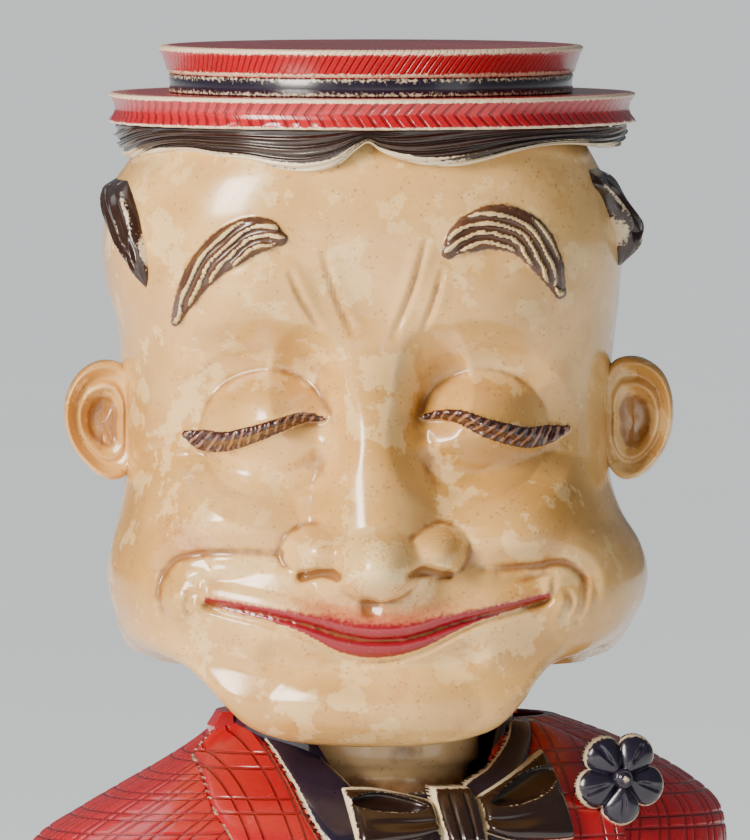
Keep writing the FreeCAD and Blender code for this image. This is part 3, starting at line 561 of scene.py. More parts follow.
def skin_colour(tree, paint):
    """Cream skin, then blush, lips, brows and lashes where the painted attributes say."""
    at = put(tree, "ShaderNodeTexCoord").outputs["Object"]
    tone = put(tree, "ShaderNodeTexNoise", {"Vector": at, "Scale": 16.0, "Detail": 3.0}).outputs[0]
    fine = put(tree, "ShaderNodeTexNoise", {"Vector": at, "Scale": 700.0, "Detail": 4.0}).outputs[0]
    ragged = times(tree, minus(tree, fine, 0.5), 0.7)
    blotch = put(tree, "ShaderNodeTexNoise", {"Vector": at, "Scale": 62.0, "Detail": 7.0, "Roughness": 0.62})
    colour = mixed(tree, rise(tree, tone, 0.38, 0.66), paint, (0.55, 0.275, 0.065, 1))
    colour = mixed(tree, times(tree, rise(tree, blotch.outputs[0], 0.545, 0.575), 0.5), colour,
                   (0.90, 0.63, 0.29, 1))
    colour = mixed(tree, times(tree, rise(tree, blotch.outputs[0], 0.41, 0.37), 0.45), colour,
                   (0.68, 0.34, 0.10, 1))

    def laid(colour, name, shade, low, high, strength=1.0):
        edge = plus(tree, attribute(tree, name), ragged)
        return mixed(tree, times(tree, rise(tree, edge, low, high), strength), colour, shade)

    colour = laid(colour, "blush", (0.50, 0.10, 0.065, 1), 0.12, 1.0, 0.85)
    colour = laid(colour, "lips", (0.27, 0.007, 0.016, 1), 0.3, 0.75)
    colour = laid(colour, "hair", (0.085, 0.034, 0.017, 1), 0.3, 0.62)
    colour = laid(colour, "lash", (0.045, 0.013, 0.010, 1), 0.35, 0.65)
    return laid(colour, "strand", (0.30, 0.13, 0.075, 1), 0.45, 0.8)


SKIN = aged_material("skin_paint", (0.80, 0.48, 0.175, 1), wash_and_shade=(0.23, 0.075, 0.012, 1),
                     ground=(0.91, 0.66, 0.32, 1), rub=0.75, specks=0.5, bump=0.2, recolour=skin_colour)
face_worn = (bump_up * 0.5 + 0.75 * brow_strand) * (1 - lash) * (1 - 0.85 * lips)
# Hollow mask: brown wash and painted shade in the face's dips, smile valleys, nostrils, creases and mouth
# line.
face_wash_and_shade = (-bump_up * 0.46 - relief(carve, 60) * 0.10 + 0.16 * folds + 0.30 * valleys + 0.4 * nostril
            + 0.2 * wing_crease + 0.25 * philtrum + 0.30 * hump(lip_gap, 1.0) * lip_inside)
face_paint = {
    "ridge": padded_rows(np.clip(face_worn, 0, 1)),
    "hollow": padded_rows(np.clip(face_wash_and_shade, 0, 1)),
    "blush": padded_rows(blush * forward),
    "lips": padded_rows(lips * forward),
    "hair": padded_rows(brow * forward),
    "lash": padded_rows(lash * forward),
    "strand": padded_rows(lash_strand**2 * forward),
}
face_points = np.concatenate([np.stack(under), face_skin, np.stack(crown)])
face = make_piece("face_skin", face_points, grid_faces(len(face_points), FACE_COLUMNS), SKIN, "head",
                  face_paint)
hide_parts("face_shell")

# ------------------------------------------------------------------ back of the head
# The rear half of the same shell, glued to the face along the ears. It is plain under the hair.
BACK_COLUMNS = 120
back_angle = np.linspace(0, math.pi, BACK_COLUMNS)[None, :]
back_under, back_skin, back_crown = head_grid(back_angle, BACK_COLUMNS)
back_points = np.concatenate([np.stack(back_under), back_skin, np.stack(back_crown)])
back = make_piece("head_back_skin", back_points, grid_faces(len(back_points), BACK_COLUMNS), SKIN, "head")
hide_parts("head_back")

# ------------------------------------------------------------------ ears
# Each ear is a thick moulded leaf set edge-on to the head: a rolled rim, a second fold inside it and a deep
# bowl. It is painted as the face is.
EAR_TURNS = 96
EAR_OUTLINES = {
    "left": [(-66, 214), (-66.5, 224), (-70, 230), (-75.6, 231), (-81.4, 228), (-85.2, 221.6),
             (-85.9, 214.5), (-83.9, 207.4), (-79.2, 201.2), (-74.5, 197.8), (-70, 198), (-66.5, 202),
             (-66, 208)],
    "right": [(64.5, 215), (65, 226), (68.5, 231.2), (75, 232), (81.4, 228), (84.4, 220), (84, 211.2),
              (80.6, 203.6), (74.6, 198.2), (70, 198), (66.5, 201.5), (64.5, 208)],
}


def ear_grid(outline, centre):
    """A leaf in polar form: the outline shrinks to the centre while the front follows a rolled profile."""
    loop = along(outline + outline[:1], EAR_TURNS + 1)[:-1]
    share = np.concatenate([np.linspace(0.02, 0.6, 18), np.linspace(0.63, 1.0, 22)])[:, None]
    x = centre[0] + (loop[None, :, 0] - centre[0]) * share
    z = centre[1] + (loop[None, :, 1] - centre[1]) * share
    outward = step(np.abs(loop[:, 0])[None, :], 66, 76)
    profile = flow(share, [(0, -3.2), (0.34, -2.8), (0.50, -0.6), (0.60, 0.1), (0.70, -0.6), (0.80, 0.9),
                           (0.90, 3.0), (0.96, 2.2), (1.0, 0)])
    turn = np.arctan2(z - centre[1], np.abs(x) - abs(centre[0]))
    inner_fold = 2.6 * np.exp(-((share - 0.60) / 0.08) ** 2) * (0.5 + 0.5 * np.cos(turn - 2.2))
    front = -6.0 - (profile + inner_fold) * (0.35 + 0.65 * outward)
    rear = -1.5 + 3.4 * np.sqrt(np.clip(1 - share**2, 0, 1)) + 0 * x
    return x, z, front, rear, profile + 0 * x


for side, outline in EAR_OUTLINES.items():
    middle = (-74.8 if side == "left" else 73.4, 213.4)
    ear_x, ear_z, ear_front, ear_rear, ear_profile = ear_grid(outline, middle)
    front_rows = np.stack([ear_x, ear_front, ear_z], axis=-1)
    rim_rows = np.stack([np.stack([ear_x[-1], np.full(EAR_TURNS, y), ear_z[-1]], axis=-1)
                         for y in (-5, -3, -1.5)])
    rear_rows = np.stack([ear_x, ear_rear, ear_z], axis=-1)[::-1]
    ear_points = np.concatenate([front_rows, rim_rows, rear_rows])
    ear_faces = grid_faces(len(ear_points), EAR_TURNS, closed=True)
    poles = np.array([front_rows[0].mean(axis=0), rear_rows[-1].mean(axis=0)])
    count = len(ear_points) * EAR_TURNS
    ring = [(i, (i + 1) % EAR_TURNS) for i in range(EAR_TURNS)]
    last = count - EAR_TURNS
    caps = [[i, after, count] for i, after in ring]
    caps += [[last + i, last + after, count + 1] for i, after in ring]
    ear_up = relief(np.concatenate([ear_profile, np.zeros((3, EAR_TURNS)), np.zeros_like(ear_profile)]), 6)
    hidden_rows = len(ear_points) - len(front_rows)
    # Brown wash and painted shade in the ear's dips and bowl, darkest at the bowl's centre.
    ear_bowl_shade = np.concatenate([step(ear_profile, 0, -2.4), np.zeros((hidden_rows, EAR_TURNS))])
    ear_paint = {"ridge": np.append(np.clip(ear_up * 0.8, 0, 1), [0, 0]),
                 "hollow": np.append(np.clip(-ear_up * 0.7, 0, 1) + ear_bowl_shade * 0.7, [0.8, 0])}
    flat_points = np.vstack([ear_points.reshape(-1, 3), poles])
    ear = make_piece(f"ear_{side}_leaf", flat_points, ear_faces.tolist() + caps, SKIN, "head", ear_paint)
    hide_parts(f"ear_{side}")

# ------------------------------------------------------------------ hair
# Hair is modelled on the shell as combed strands, painted dark brown and rubbed to cream on the strand tops.
# A fringe hangs under the brim, a tapered lock lies above each ear, and the back is one combed cap.
HAIR = aged_material("hair_paint", (0.026, 0.010, 0.006, 1), rub=0.8, specks=0.1, bump=0.5)
FRINGE_EDGE = [(-76, 288.6), (-72.2, 288.2), (-64.4, 289.9), (-52.9, 290.4), (-44.8, 289), (-35.8, 288.2),
               (-27.2, 286.6), (-18.8, 286), (-10.1, 287.8), (-4, 292.4), (-0.8, 294.1), (2.5, 292),
               (11.2, 288.8), (22.4, 287.5), (31.1, 288.3), (42.6, 291.1), (51, 292.6), (60.2, 292.9),
               (70, 291.4), (76, 290.5)]
FRINGE_COLUMNS = 380
fringe_angle = np.linspace(math.radians(160), math.radians(380), FRINGE_COLUMNS)[None, :]
fringe_down = np.linspace(0, 1, 44)[:, None]
fringe_reach = 73.0
fringe_top = 297.0
fringe_x0 = fringe_reach * np.cos(fringe_angle)
fringe_low = flow(fringe_x0, FRINGE_EDGE)
fringe_z = fringe_top + (fringe_low - fringe_top) * fringe_down
fringe_sweep = 2 * math.pi * (3.2 * fringe_down + 0.35 * np.sin(fringe_angle * 5 + 1) + fringe_angle * 1.1)
fringe_comb = np.sin(fringe_sweep) + 0.6 * np.sin(fringe_sweep * 2.3 + fringe_angle * 9)
fringe_radius = fringe_reach - 1.5 - 2.5 * fringe_down**2 + 0.55 * fringe_comb * step(fringe_down, 0, 0.2)
front_layer = np.stack([fringe_radius * np.cos(fringe_angle), fringe_radius * np.sin(fringe_angle) * 0.955,
                        fringe_z], axis=-1)
inner_layer = front_layer.copy()
inner_layer[..., :2] *= 0.93
lip_layer = front_layer[-1:] * 0.6 + inner_layer[-1:] * 0.4
lip_layer[..., 2] -= 0.5
fringe_points = np.concatenate([front_layer, lip_layer, inner_layer[::-1]])
fringe_ridge = np.clip(0.28 * fringe_comb + 1.0 * step(fringe_down, 0.66, 0.95) - 0.12, 0, 1) + 0 * fringe_z
fringe_wear = np.vstack([fringe_ridge, fringe_ridge[-1:], np.zeros_like(fringe_ridge)])
fringe_faces = grid_faces(len(fringe_points), FRINGE_COLUMNS)
fringe = make_piece("hair_fringe_strands", fringe_points, fringe_faces, HAIR, "head", {"ridge": fringe_wear})
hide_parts("hair_fringe")

LOCKS = {
    "left": {
        "front": [(-67.8, 282), (-66.1, 277.8), (-64.4, 272.2), (-63.3, 266.6), (-62.2, 261), (-61.9, 255.4),
                  (-62.4, 252.6)],
        "rear": [(-72.4, 282), (-72.8, 277.8), (-72.4, 272.2), (-70.4, 266.6), (-67.0, 261), (-64.4, 255.4),
                 (-62.7, 252.6)],
        "stand": [(0, 0), (0.06, 2.4), (0.4, 3.4), (0.85, 2.6), (1, 0)],
    },
    "right": {
        "front": [(60.6, 285), (62.0, 280.6), (64.1, 277.8), (66.3, 272.2), (67.8, 268), (68.6, 263.8),
                  (69.0, 258.0)],
        "rear": [(63.4, 285), (66.2, 280.6), (67.8, 277.8), (69.2, 272.2), (69.8, 268), (69.9, 263.8),
                 (69.8, 258.0)],
        "stand": [(0, 0), (0.08, 2.6), (0.3, 4.4), (0.6, 6.8), (0.8, 5.6), (1, 0.6)],
    },
}


def head_angle(x, z):
    """The angle at which the front half of the head's plan has a given x at height z."""
    left, right = -flow(z, HEAD_LEFT), flow(z, HEAD_RIGHT)
    across = np.clip((x - (left + right) / 2) / ((right - left) / 2), -1, 1)
    return 2 * math.pi - np.arccos(np.sign(across) * np.abs(across) ** (BULK / 2))


LOCK_ROWS, LOCK_COLUMNS = 100, 41
for side, lock in LOCKS.items():
    down = np.linspace(0, 1, LOCK_ROWS)[:, None]
    across = np.linspace(-1, 1, LOCK_COLUMNS)[None, :]
    ahead, behind = along(lock["front"], LOCK_ROWS), along(lock["rear"], LOCK_ROWS)
    angle_a, angle_b = head_angle(ahead[:, :1], ahead[:, 1:2]), head_angle(behind[:, :1], behind[:, 1:2])
    lock_angle = (angle_a + angle_b) / 2 + (angle_b - angle_a) / 2 * across
    lock_z = (ahead[:, 1:2] + behind[:, 1:2]) / 2 + (behind[:, 1:2] - ahead[:, 1:2]) / 2 * across
    comb = np.sin(across * 8 + down * 5 + 0.6 * np.sin(down * 9)) + 0.4 * np.sin(across * 19 - down * 7)
    stand = flow(down, lock["stand"]) * np.sqrt(np.clip(1 - across**6, 0, 1))
    outer = stand * (0.8 + 0.18 * comb)
    ox, oy = head_point(lock_angle, lock_z, grow=outer)
    ix, iy = head_point(lock_angle, lock_z, grow=-1.5)
    lock_outer = np.stack([ox, oy, lock_z], axis=-1)
    lock_inner = np.stack([ix, iy, lock_z], axis=-1)
    lock_points = np.concatenate([lock_outer, lock_inner[:, ::-1]], axis=1)
    ridge = np.concatenate([np.clip(0.34 * comb + 0.3 * across**6, 0, 1), np.zeros_like(comb)], axis=1)
    lock_faces = grid_faces(LOCK_ROWS, 2 * LOCK_COLUMNS, closed=True)
    lock_piece = make_piece(f"sideburn_{side}_lock", lock_points, lock_faces, HAIR, "head", {"ridge": ridge})
    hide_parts(f"sideburn_{side}")

NAPE_ROWS, NAPE_COLUMNS = 110, 260
nape_angle = np.linspace(math.radians(20), math.radians(160), NAPE_COLUMNS)[None, :]
nape_down = np.linspace(0, 1, NAPE_ROWS)[:, None]
nape_off = np.abs(nape_angle - math.pi / 2)
nape_low = 178 + 66 * step(nape_off, 0.65, 1.12)
nape_z = 296.5 + (nape_low - 296.5) * nape_down
nape_comb = (np.sin(nape_angle * 46 + 2.2 * np.sin(nape_down * 5))
             + 0.5 * np.sin(nape_angle * 97 + nape_down * 6))
nape_edge = step(nape_down, 1.0, 0.93) * step(nape_off, 1.222, 1.16)
nx, ny = head_point(nape_angle, nape_z, grow=0.1 + 3.0 * nape_edge + 0.45 * nape_comb * nape_edge)
mx, my = head_point(nape_angle, nape_z, grow=-1.2)
nape_outer = np.stack([nx, ny, nape_z], axis=-1)
nape_inner = np.stack([mx, my, nape_z], axis=-1)
nape_points = np.concatenate([nape_outer, nape_inner[:, ::-1]], axis=1)
nape_ridge = np.concatenate([np.clip(0.3 * nape_comb + 0.5 * step(nape_down, 0.8, 1) - 0.15, 0, 1),
                             np.zeros_like(nape_comb)], axis=1)
nape_faces = grid_faces(NAPE_ROWS, 2 * NAPE_COLUMNS, closed=True)
nape = make_piece("hair_back_cap", nape_points, nape_faces, HAIR, "head", {"ridge": nape_ridge})
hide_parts("hair_back")

# ------------------------------------------------------------------ hat
# A boater moulded on top of the head: a thick brim with a herringbone edge, a dark band, and a low flat
# crown whose rim is cut with slanting strokes. The strokes are cuts coloured a darker red as painted shade,
# and edges are rubbed to cream.
HAT_RED = (0.44, 0.008, 0.014, 1)
NAVY = (0.013, 0.009, 0.022, 1)


def strokes(tree, slant, pitch, thick):
    """Mask of slanting strokes over the laid-out surface: across plus slant times up, in even steps."""
    laid = put(tree, "ShaderNodeUVMap", uv_map="laid").outputs[0]
    split = put(tree, "ShaderNodeSeparateXYZ", {0: laid})
    lean = times(tree, split.outputs[1], slant)
    at = sums(tree, "DIVIDE", plus(tree, split.outputs[0], lean), pitch)
    wave = sums(tree, "ABSOLUTE", minus(tree, sums(tree, "FRACT", at), 0.5))
    return rise(tree, wave, thick, thick - 0.12), split.outputs[1]


def brim_hollow(tree):
    """Herringbone: strokes lean one way above the brim's middle and the other way below it."""
    upper, up = strokes(tree, -0.9, 0.0036, 0.22)
    lower, _ = strokes(tree, 0.7, 0.0036, 0.22)
    high = rise(tree, up, 0.0041, 0.0045)
    both = plus(tree, times(tree, upper, high),
                times(tree, lower, minus(tree, 1.0, high)))
    edge = times(tree, rise(tree, up, 0.0, 0.0008), rise(tree, up, 0.0088, 0.0078))
    return times(tree, times(tree, both, edge), 0.85)


def crown_hollow(tree):
    """Slanting strokes round the crown's rim."""
    cuts, up = strokes(tree, -0.8, 0.0026, 0.20)
    return times(tree, cuts, times(tree, rise(tree, up, 0.0005, 0.001), 0.8))


# Their wash is a darker copy of the hat red: painted shade in the strokes, and specks.
BRIM_PAINT = aged_material("brim_paint", HAT_RED, wash_and_shade=(0.16, 0.004, 0.008, 1), specks=0.25, bump=0.6,
                           hollow=brim_hollow)
CROWN_PAINT = aged_material("crown_paint", HAT_RED, wash_and_shade=(0.16, 0.004, 0.008, 1), specks=0.25, bump=0.6,
                            hollow=crown_hollow)
NAVY_PAINT = aged_material("navy_paint", NAVY, specks=0.15, rub=0.75)
BRIM_RADIUS = 74.0  # the strokes are laid out round this radius
HAT_TURNS = 480
brim_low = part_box("hat_brim")[0][2] / MM
brim_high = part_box("hat_brim")[1][2] / MM
crown_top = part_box("hat_crown")[1][2] / MM


def spun(profile, turns, wobble=None):
    """A ring surface: a profile of (radius, height) pairs carried round the head's axis."""
    profile = np.array(profile, float)
    angle = np.linspace(0, 2 * math.pi, turns, endpoint=False)[None, :]
    radius = profile[:, 0][:, None] + (wobble(angle, profile[:, 1][:, None]) if wobble else 0)
    height = profile[:, 1][:, None] + 0 * angle
    return np.stack([radius * np.cos(angle), radius * np.sin(angle), height], axis=-1), angle


def spun_piece(name, profile, turns, material, body, ridge, wobble=None, base=0.0, nodes=()):
    """A closed turned piece with its laid-out map: round the rim across, height above base up."""
    points, angle = spun(profile, turns, wobble)
    laid = np.stack([angle * BRIM_RADIUS + 0 * points[..., 2], points[..., 2] - base], axis=-1)
    worn = np.array(ridge, float)[:, None] + np.zeros((1, turns))
    made = make_piece(name, points, grid_faces(len(points), turns, closed=True), material, body,
                      {"ridge": worn}, laid)
    if nodes:
        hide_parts(*nodes)
    return made


def brim_wobble(angle, height):
    """Hand-cut unevenness of the brim: slow swells, and a ragged lower lip."""
    ragged = 0.5 * np.sin(angle * 61 + 2 * np.sin(angle * 17)) * (height < brim_low + 1)
    return 0.35 * np.sin(angle * 5 + 1) + 0.25 * np.sin(angle * 11) + ragged


brim_profile = [(0, brim_low + 0.1), (30, brim_low + 0.1), (66, brim_low + 0.1), (72.2, brim_low + 0.2),
                (73.4, brim_low + 0.5), (73.5, brim_low + 1.2), (72.4, brim_low + 2.6),
                (71.9, brim_low + 4.2), (72.3, brim_low + 6.0), (73.3, brim_high - 1.4),
                (73.7, brim_high - 0.7), (73.4, brim_high - 0.2), (72.6, brim_high), (60, brim_high - 0.1),
                (30, brim_high - 0.1), (0, brim_high - 0.1)]
brim_ridge = [0, 0, 0, 0.6, 0.8, 0.3, 0.05, 0, 0.05, 0.35, 0.85, 0.85, 0.5, 0.1, 0, 0]
spun_piece("hat_brim_ring", brim_profile, HAT_TURNS, BRIM_PAINT, "head", brim_ridge, brim_wobble, brim_low,
           ("hat_brim",))

crown_base = brim_high + 5.6
crown_profile = [(53, brim_high), (55, brim_high), (55.8, crown_base - 0.4), (56.8, crown_base),
                 (57.1, crown_base + 0.5), (57.4, crown_base + 1.6), (58.6, crown_top - 4.2),
                 (59.3, crown_top - 3.0), (59.4, crown_top - 2.3), (58.8, crown_top - 1.8),
                 (56, crown_top - 1.6), (50, crown_top - 1.5), (25, crown_top - 1.2), (0, crown_top - 1.1),
                 (0, crown_top - 4), (53, crown_top - 5), (53, brim_high)]
crown_ridge = [0, 0, 0.2, 0.6, 0.6, 0.2, 0.1, 0.5, 0.95, 0.85, 0.32, 0.1, 0.05, 0, 0, 0, 0]
spun_piece("hat_crown_cap", crown_profile, HAT_TURNS, CROWN_PAINT, "head", crown_ridge, None, crown_base,
           ("hat_crown",))
band_profile = [(54.6, brim_high), (56.2, brim_high), (56.6, brim_high + 0.5), (56.3, brim_high + 2.6),
                (56.6, crown_base - 0.9), (56.4, crown_base - 0.4), (54.6, crown_base - 0.4),
                (54.6, brim_high)]
band_ridge = [0, 0.3, 0.55, 0.1, 0.5, 0.4, 0, 0]
spun_piece("hat_band_ribbon", band_profile, 360, NAVY_PAINT, "head", band_ridge, None, brim_high,
           ("hat_band",))

# ------------------------------------------------------------------ neck
# A ball rides in the swivel ring, and a throat with two raised tendons stands on it. It is painted as the
# face is, with painted shade between the tendons and where it goes down into the collar.
NECK = aged_material("neck_paint", (0.80, 0.55, 0.28, 1), wash_and_shade=(0.22, 0.085, 0.022, 1), rub=0.6, specks=0.45,
                     bump=0.2)
PIVOT = 104.0  # height of the ball's centre
BALL = 28.98  # radius of the ball
NECK_TURNS = 220
ball_turn = np.linspace(-0.32 * math.pi, 0.12 * math.pi, 26)
neck_profile = [(9.0, 76.8), (9.0, 77.2)]
neck_profile += [(BALL * math.cos(t), PIVOT + BALL * math.sin(t)) for t in ball_turn]
neck_profile += [(27, 115.6), (27.2, 117), (28.4, 118.3), (30.3, 119.6), (30.6, 121.5), (30.6, 124),
                 (30.5, 126.5), (29.6, 129), (28, 132.5), (26.9, 136), (26.9, 143), (26.9, 147.9),
                 (9, 147.9), (9, 110), (9, 76.8)]
neck_rows = np.array(neck_profile)[:, 1][:, None]


def tendons(angle, height):
    """Two soft cords down the front of the throat, and a hollow between them."""
    rise_up = step(height, 117, 121) * step(height, 146, 138)
    cords = 0.8 * np.exp(-((angle - 4.66) / 0.10) ** 2) + 0.8 * np.exp(-((angle - 5.42) / 0.14) ** 2)
    return rise_up * (cords - 1.1 * np.exp(-((angle - 5.06) / 0.16) ** 2) - 0.5)


neck_points, neck_angle = spun(neck_profile, NECK_TURNS, tendons)
neck_cords = tendons(neck_angle, neck_rows)
# Painted shade in the brown wash: between the tendons and low down where the throat goes into the collar.
neck_wash_and_shade = np.clip(-neck_cords * 0.45 + 0.8 * step(neck_rows, 119, 113), 0, 1)
neck_faces = grid_faces(len(neck_profile), NECK_TURNS, closed=True)
neck = make_piece("neck_throat", neck_points, neck_faces, NECK, "head",
                  {"hollow": neck_wash_and_shade, "ridge": np.clip(neck_cords * 0.5, 0, 1)})
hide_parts("neck_ball")

# ------------------------------------------------------------------ jacket
# The jacket is two hollow moulded halves, glued at the side seams, with a window check cut into them as
# pairs of fine lines. The back has a rounded opening for the hand, and the neck is a round hole.
TURN = math.radians(20)  # the bust is turned this far under the face
BUST_BULK = 2.35
BUST_LEFT = [(8, 78), (40, 88), (70, 97), (88, 101), (99, 95), (107, 81), (114, 67), (120, 55), (126, 45),
             (131, 39)]
BUST_RIGHT = [(8, 78), (40, 88), (70, 97), (88, 102), (99, 103), (107, 101), (114, 93), (120, 83),
              (126, 70), (131, 56)]
BUST_FRONT = [(8, 46), (40, 52), (70, 57), (88, 58), (99, 55), (107, 49), (114, 43), (120, 36), (126, 29),
              (131, 22)]
BUST_BACK = [(8, 50), (40, 56), (70, 59), (88, 58), (99, 57), (107, 55), (114, 53), (120, 50), (126, 46),
             (131, 42)]
CHECK_PITCH = 11.5
CHECK_PAIR = 0.165  # how far each cut of a pair lies from their middle, as a share of the pitch


def turned(points):
    """Points of the bust, drawn facing the viewer, turned under the head."""
    out = np.array(points, float)
    c, s = math.cos(TURN), math.sin(TURN)
    x, y = points[..., 0].copy(), points[..., 1].copy()
    out[..., 0], out[..., 1] = x * c - y * s, x * s + y * c
    return out


def bust_point(angle, z, grow=0.0):
    """Point of the bust's plan at a height, as for the head."""
    return plan_point(angle, z, (BUST_LEFT, BUST_RIGHT, BUST_FRONT, BUST_BACK), BUST_BULK, grow)


def bust_front(x, z):
    """The bust's front surface: its depth at a place on the front view."""
    left, right = -flow(z, BUST_LEFT), flow(z, BUST_RIGHT)
    front, back = -flow(z, BUST_FRONT), flow(z, BUST_BACK)
    off = np.clip(np.abs((x - (left + right) / 2) / ((right - left) / 2)), 0, 0.995)
    return (front + back) / 2 - (back - front) / 2 * (1 - off**BUST_BULK) ** (1 / BUST_BULK)


def check_lines(tree):
    """Window check: two cuts side by side at every pitch, across and up the laid-out cloth."""
    laid = put(tree, "ShaderNodeUVMap", uv_map="laid").outputs[0]
    split = put(tree, "ShaderNodeSeparateXYZ", {0: laid})
    best = None
    for axis in (0, 1):
        at = sums(tree, "DIVIDE", split.outputs[axis], CHECK_PITCH * MM)
        off = sums(tree, "ABSOLUTE", minus(tree, sums(tree, "FRACT", at), 0.5))
        pair = sums(tree, "ABSOLUTE", minus(tree, off, CHECK_PAIR))
        line = rise(tree, pair, 0.05, 0.012)
        best = line if best is None else sums(tree, "MAXIMUM", best, line)
    return times(tree, best, 0.95)


def cloth_hollow(tree):
    """Cuts of the check and the painted hollows together, which take the darker red as painted shade."""
    return sums(tree, "MAXIMUM", check_lines(tree), attribute(tree, "hollow"))


JACKET_RED = (0.44, 0.008, 0.013, 1)
# The wash is a darker copy of the jacket red: painted shade in the check's cuts and hollows, and specks.
JACKET = aged_material("jacket_paint", JACKET_RED, wash_and_shade=(0.24, 0.006, 0.010, 1), specks=0.25, rub=0.75,
                       bump=1.0, hollow=cloth_hollow)


def cut_with(piece, cutter):
    """Takes a closed cutter out of a closed piece, and removes the cutter."""
    change = piece.modifiers.new("cut", "BOOLEAN")
    change.operation, change.solver, change.object = "DIFFERENCE", "EXACT", cutter
    bpy.context.view_layer.objects.active = piece
    bpy.context.view_layer.update()
    with bpy.context.temp_override(object=piece, active_object=piece, selected_objects=[piece]):
        bpy.ops.object.modifier_apply(modifier=change.name)
    bpy.data.objects.remove(cutter)


NECK_HOLE = 40  # radius of the jacket's neck hole


def neck_cutter(low, dip):
    """A plug of the neck hole's size from a height up, its front drawn out by dip at the throat."""
    angle = np.linspace(0, 2 * math.pi, 128, endpoint=False)[None, :]
    radius = np.array([0, 1, 1, 0])[:, None] * (NECK_HOLE + dip * np.exp(-((angle - 4.95) / 0.55) ** 4))
    height = np.array([low, low, 150, 150])[:, None]
    points = np.stack([radius * np.cos(angle), radius * np.sin(angle), height + 0 * angle], axis=-1)
    return make_piece("neck_plug", points, grid_faces(4, 128, closed=True), JACKET, None)


def hand_cutter():
    """A rounded window, drawn as a square whose corners are eased, pushed through the back wall."""
    angle = np.linspace(0, 2 * math.pi, 96, endpoint=False)[None, :]
    c, s = np.cos(angle), np.sin(angle)
    half_x, half_z, middle = 48.0, 32.0, 46.0
    x = half_x * np.sign(c) * np.abs(c) ** 0.36
    z = middle + half_z * np.sign(s) * np.abs(s) ** 0.36
    grow = np.array([0, 1, 1, 0])[:, None]
    y = np.array([25, 25, 85, 85])[:, None]
    points = np.stack([x * grow, y + 0 * angle, middle + (z - middle) * grow], axis=-1)
    return make_piece("hand_plug", turned(points), grid_faces(4, 96, closed=True), JACKET, None)


def check_cuts(across, up):
    """The check's cuts as depths from 0 to 1: two soft grooves side by side at every pitch, both ways."""
    cuts = 0
    for way in (across, up):
        off = np.abs(np.mod(way / CHECK_PITCH, 1) - 0.5)
        cuts = np.maximum(cuts, step(np.abs(off - CHECK_PAIR), 0.075, 0.01))
    return cuts


COLUMNS = 250
CUT_DEPTH = 0.45
WALL = 3.0
for half, start, node_name in (("front", math.pi, "jacket_front"), ("rear", 0.0, "jacket_back")):
    shell_angle = np.linspace(start, start + math.pi, COLUMNS)[None, :]
    shell_z = np.concatenate([np.linspace(8.05, 90, 110), np.linspace(90.6, 130.9, 90)])[:, None]
    inner_z = np.linspace(130.9, 8.05, 24)[:, None]
    sx, sy = bust_point(shell_angle, shell_z)
    smooth_skin = np.stack([sx, sy, shell_z + 0 * sx], axis=-1)
    walk = np.concatenate([np.zeros((1, COLUMNS)),
                           np.cumsum(np.linalg.norm(np.diff(smooth_skin, axis=0), axis=-1), axis=0)])
    round_way = np.cumsum(np.concatenate([[0], np.linalg.norm(np.diff(smooth_skin[100], axis=0), axis=-1)]))
    across = np.broadcast_to(round_way[None, :], walk.shape)
    edge_calm = step(np.minimum(shell_angle - start, start + math.pi - shell_angle), 0.0, 0.03)
    sx, sy = bust_point(shell_angle, shell_z, -CUT_DEPTH * check_cuts(across, walk) * edge_calm)
    tx, ty = bust_point(shell_angle, inner_z, -WALL)
    outer = np.stack([sx, sy, shell_z + 0 * sx], axis=-1)
    inner = np.stack([tx, ty, inner_z + 0 * tx], axis=-1)
    loop = np.concatenate([outer, inner])
    laid = np.concatenate([np.stack([across, walk], axis=-1), np.zeros((len(inner_z), COLUMNS, 2))])
    shell_faces = grid_faces(len(loop), COLUMNS).tolist()
    last = (len(loop) - 1) * COLUMNS
    shell_faces += [[last + c, last + c + 1, c + 1, c] for c in range(COLUMNS - 1)]
    shell_faces += [[row * COLUMNS + side for row in range(len(loop))] for side in (0, COLUMNS - 1)]
    shell = make_piece(f"jacket_{half}_shell", turned(loop), shell_faces, JACKET, None, None, laid)
    cut_with(shell, neck_cutter(100, 0))
    if half == "front":
        cut_with(shell, neck_cutter(111.5, 14))
    if half == "rear":
        cut_with(shell, hand_cutter())
    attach(shell, "bust")
    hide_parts(node_name)

# ------------------------------------------------------------------ lapels, collar and shirt
# Each is a moulded strap that lies on the bust between two edges. Lapels are rubbed along their edges, the
# shirt collar is navy and worn to cream on its rims, and a plain navy shirt front shows between them.


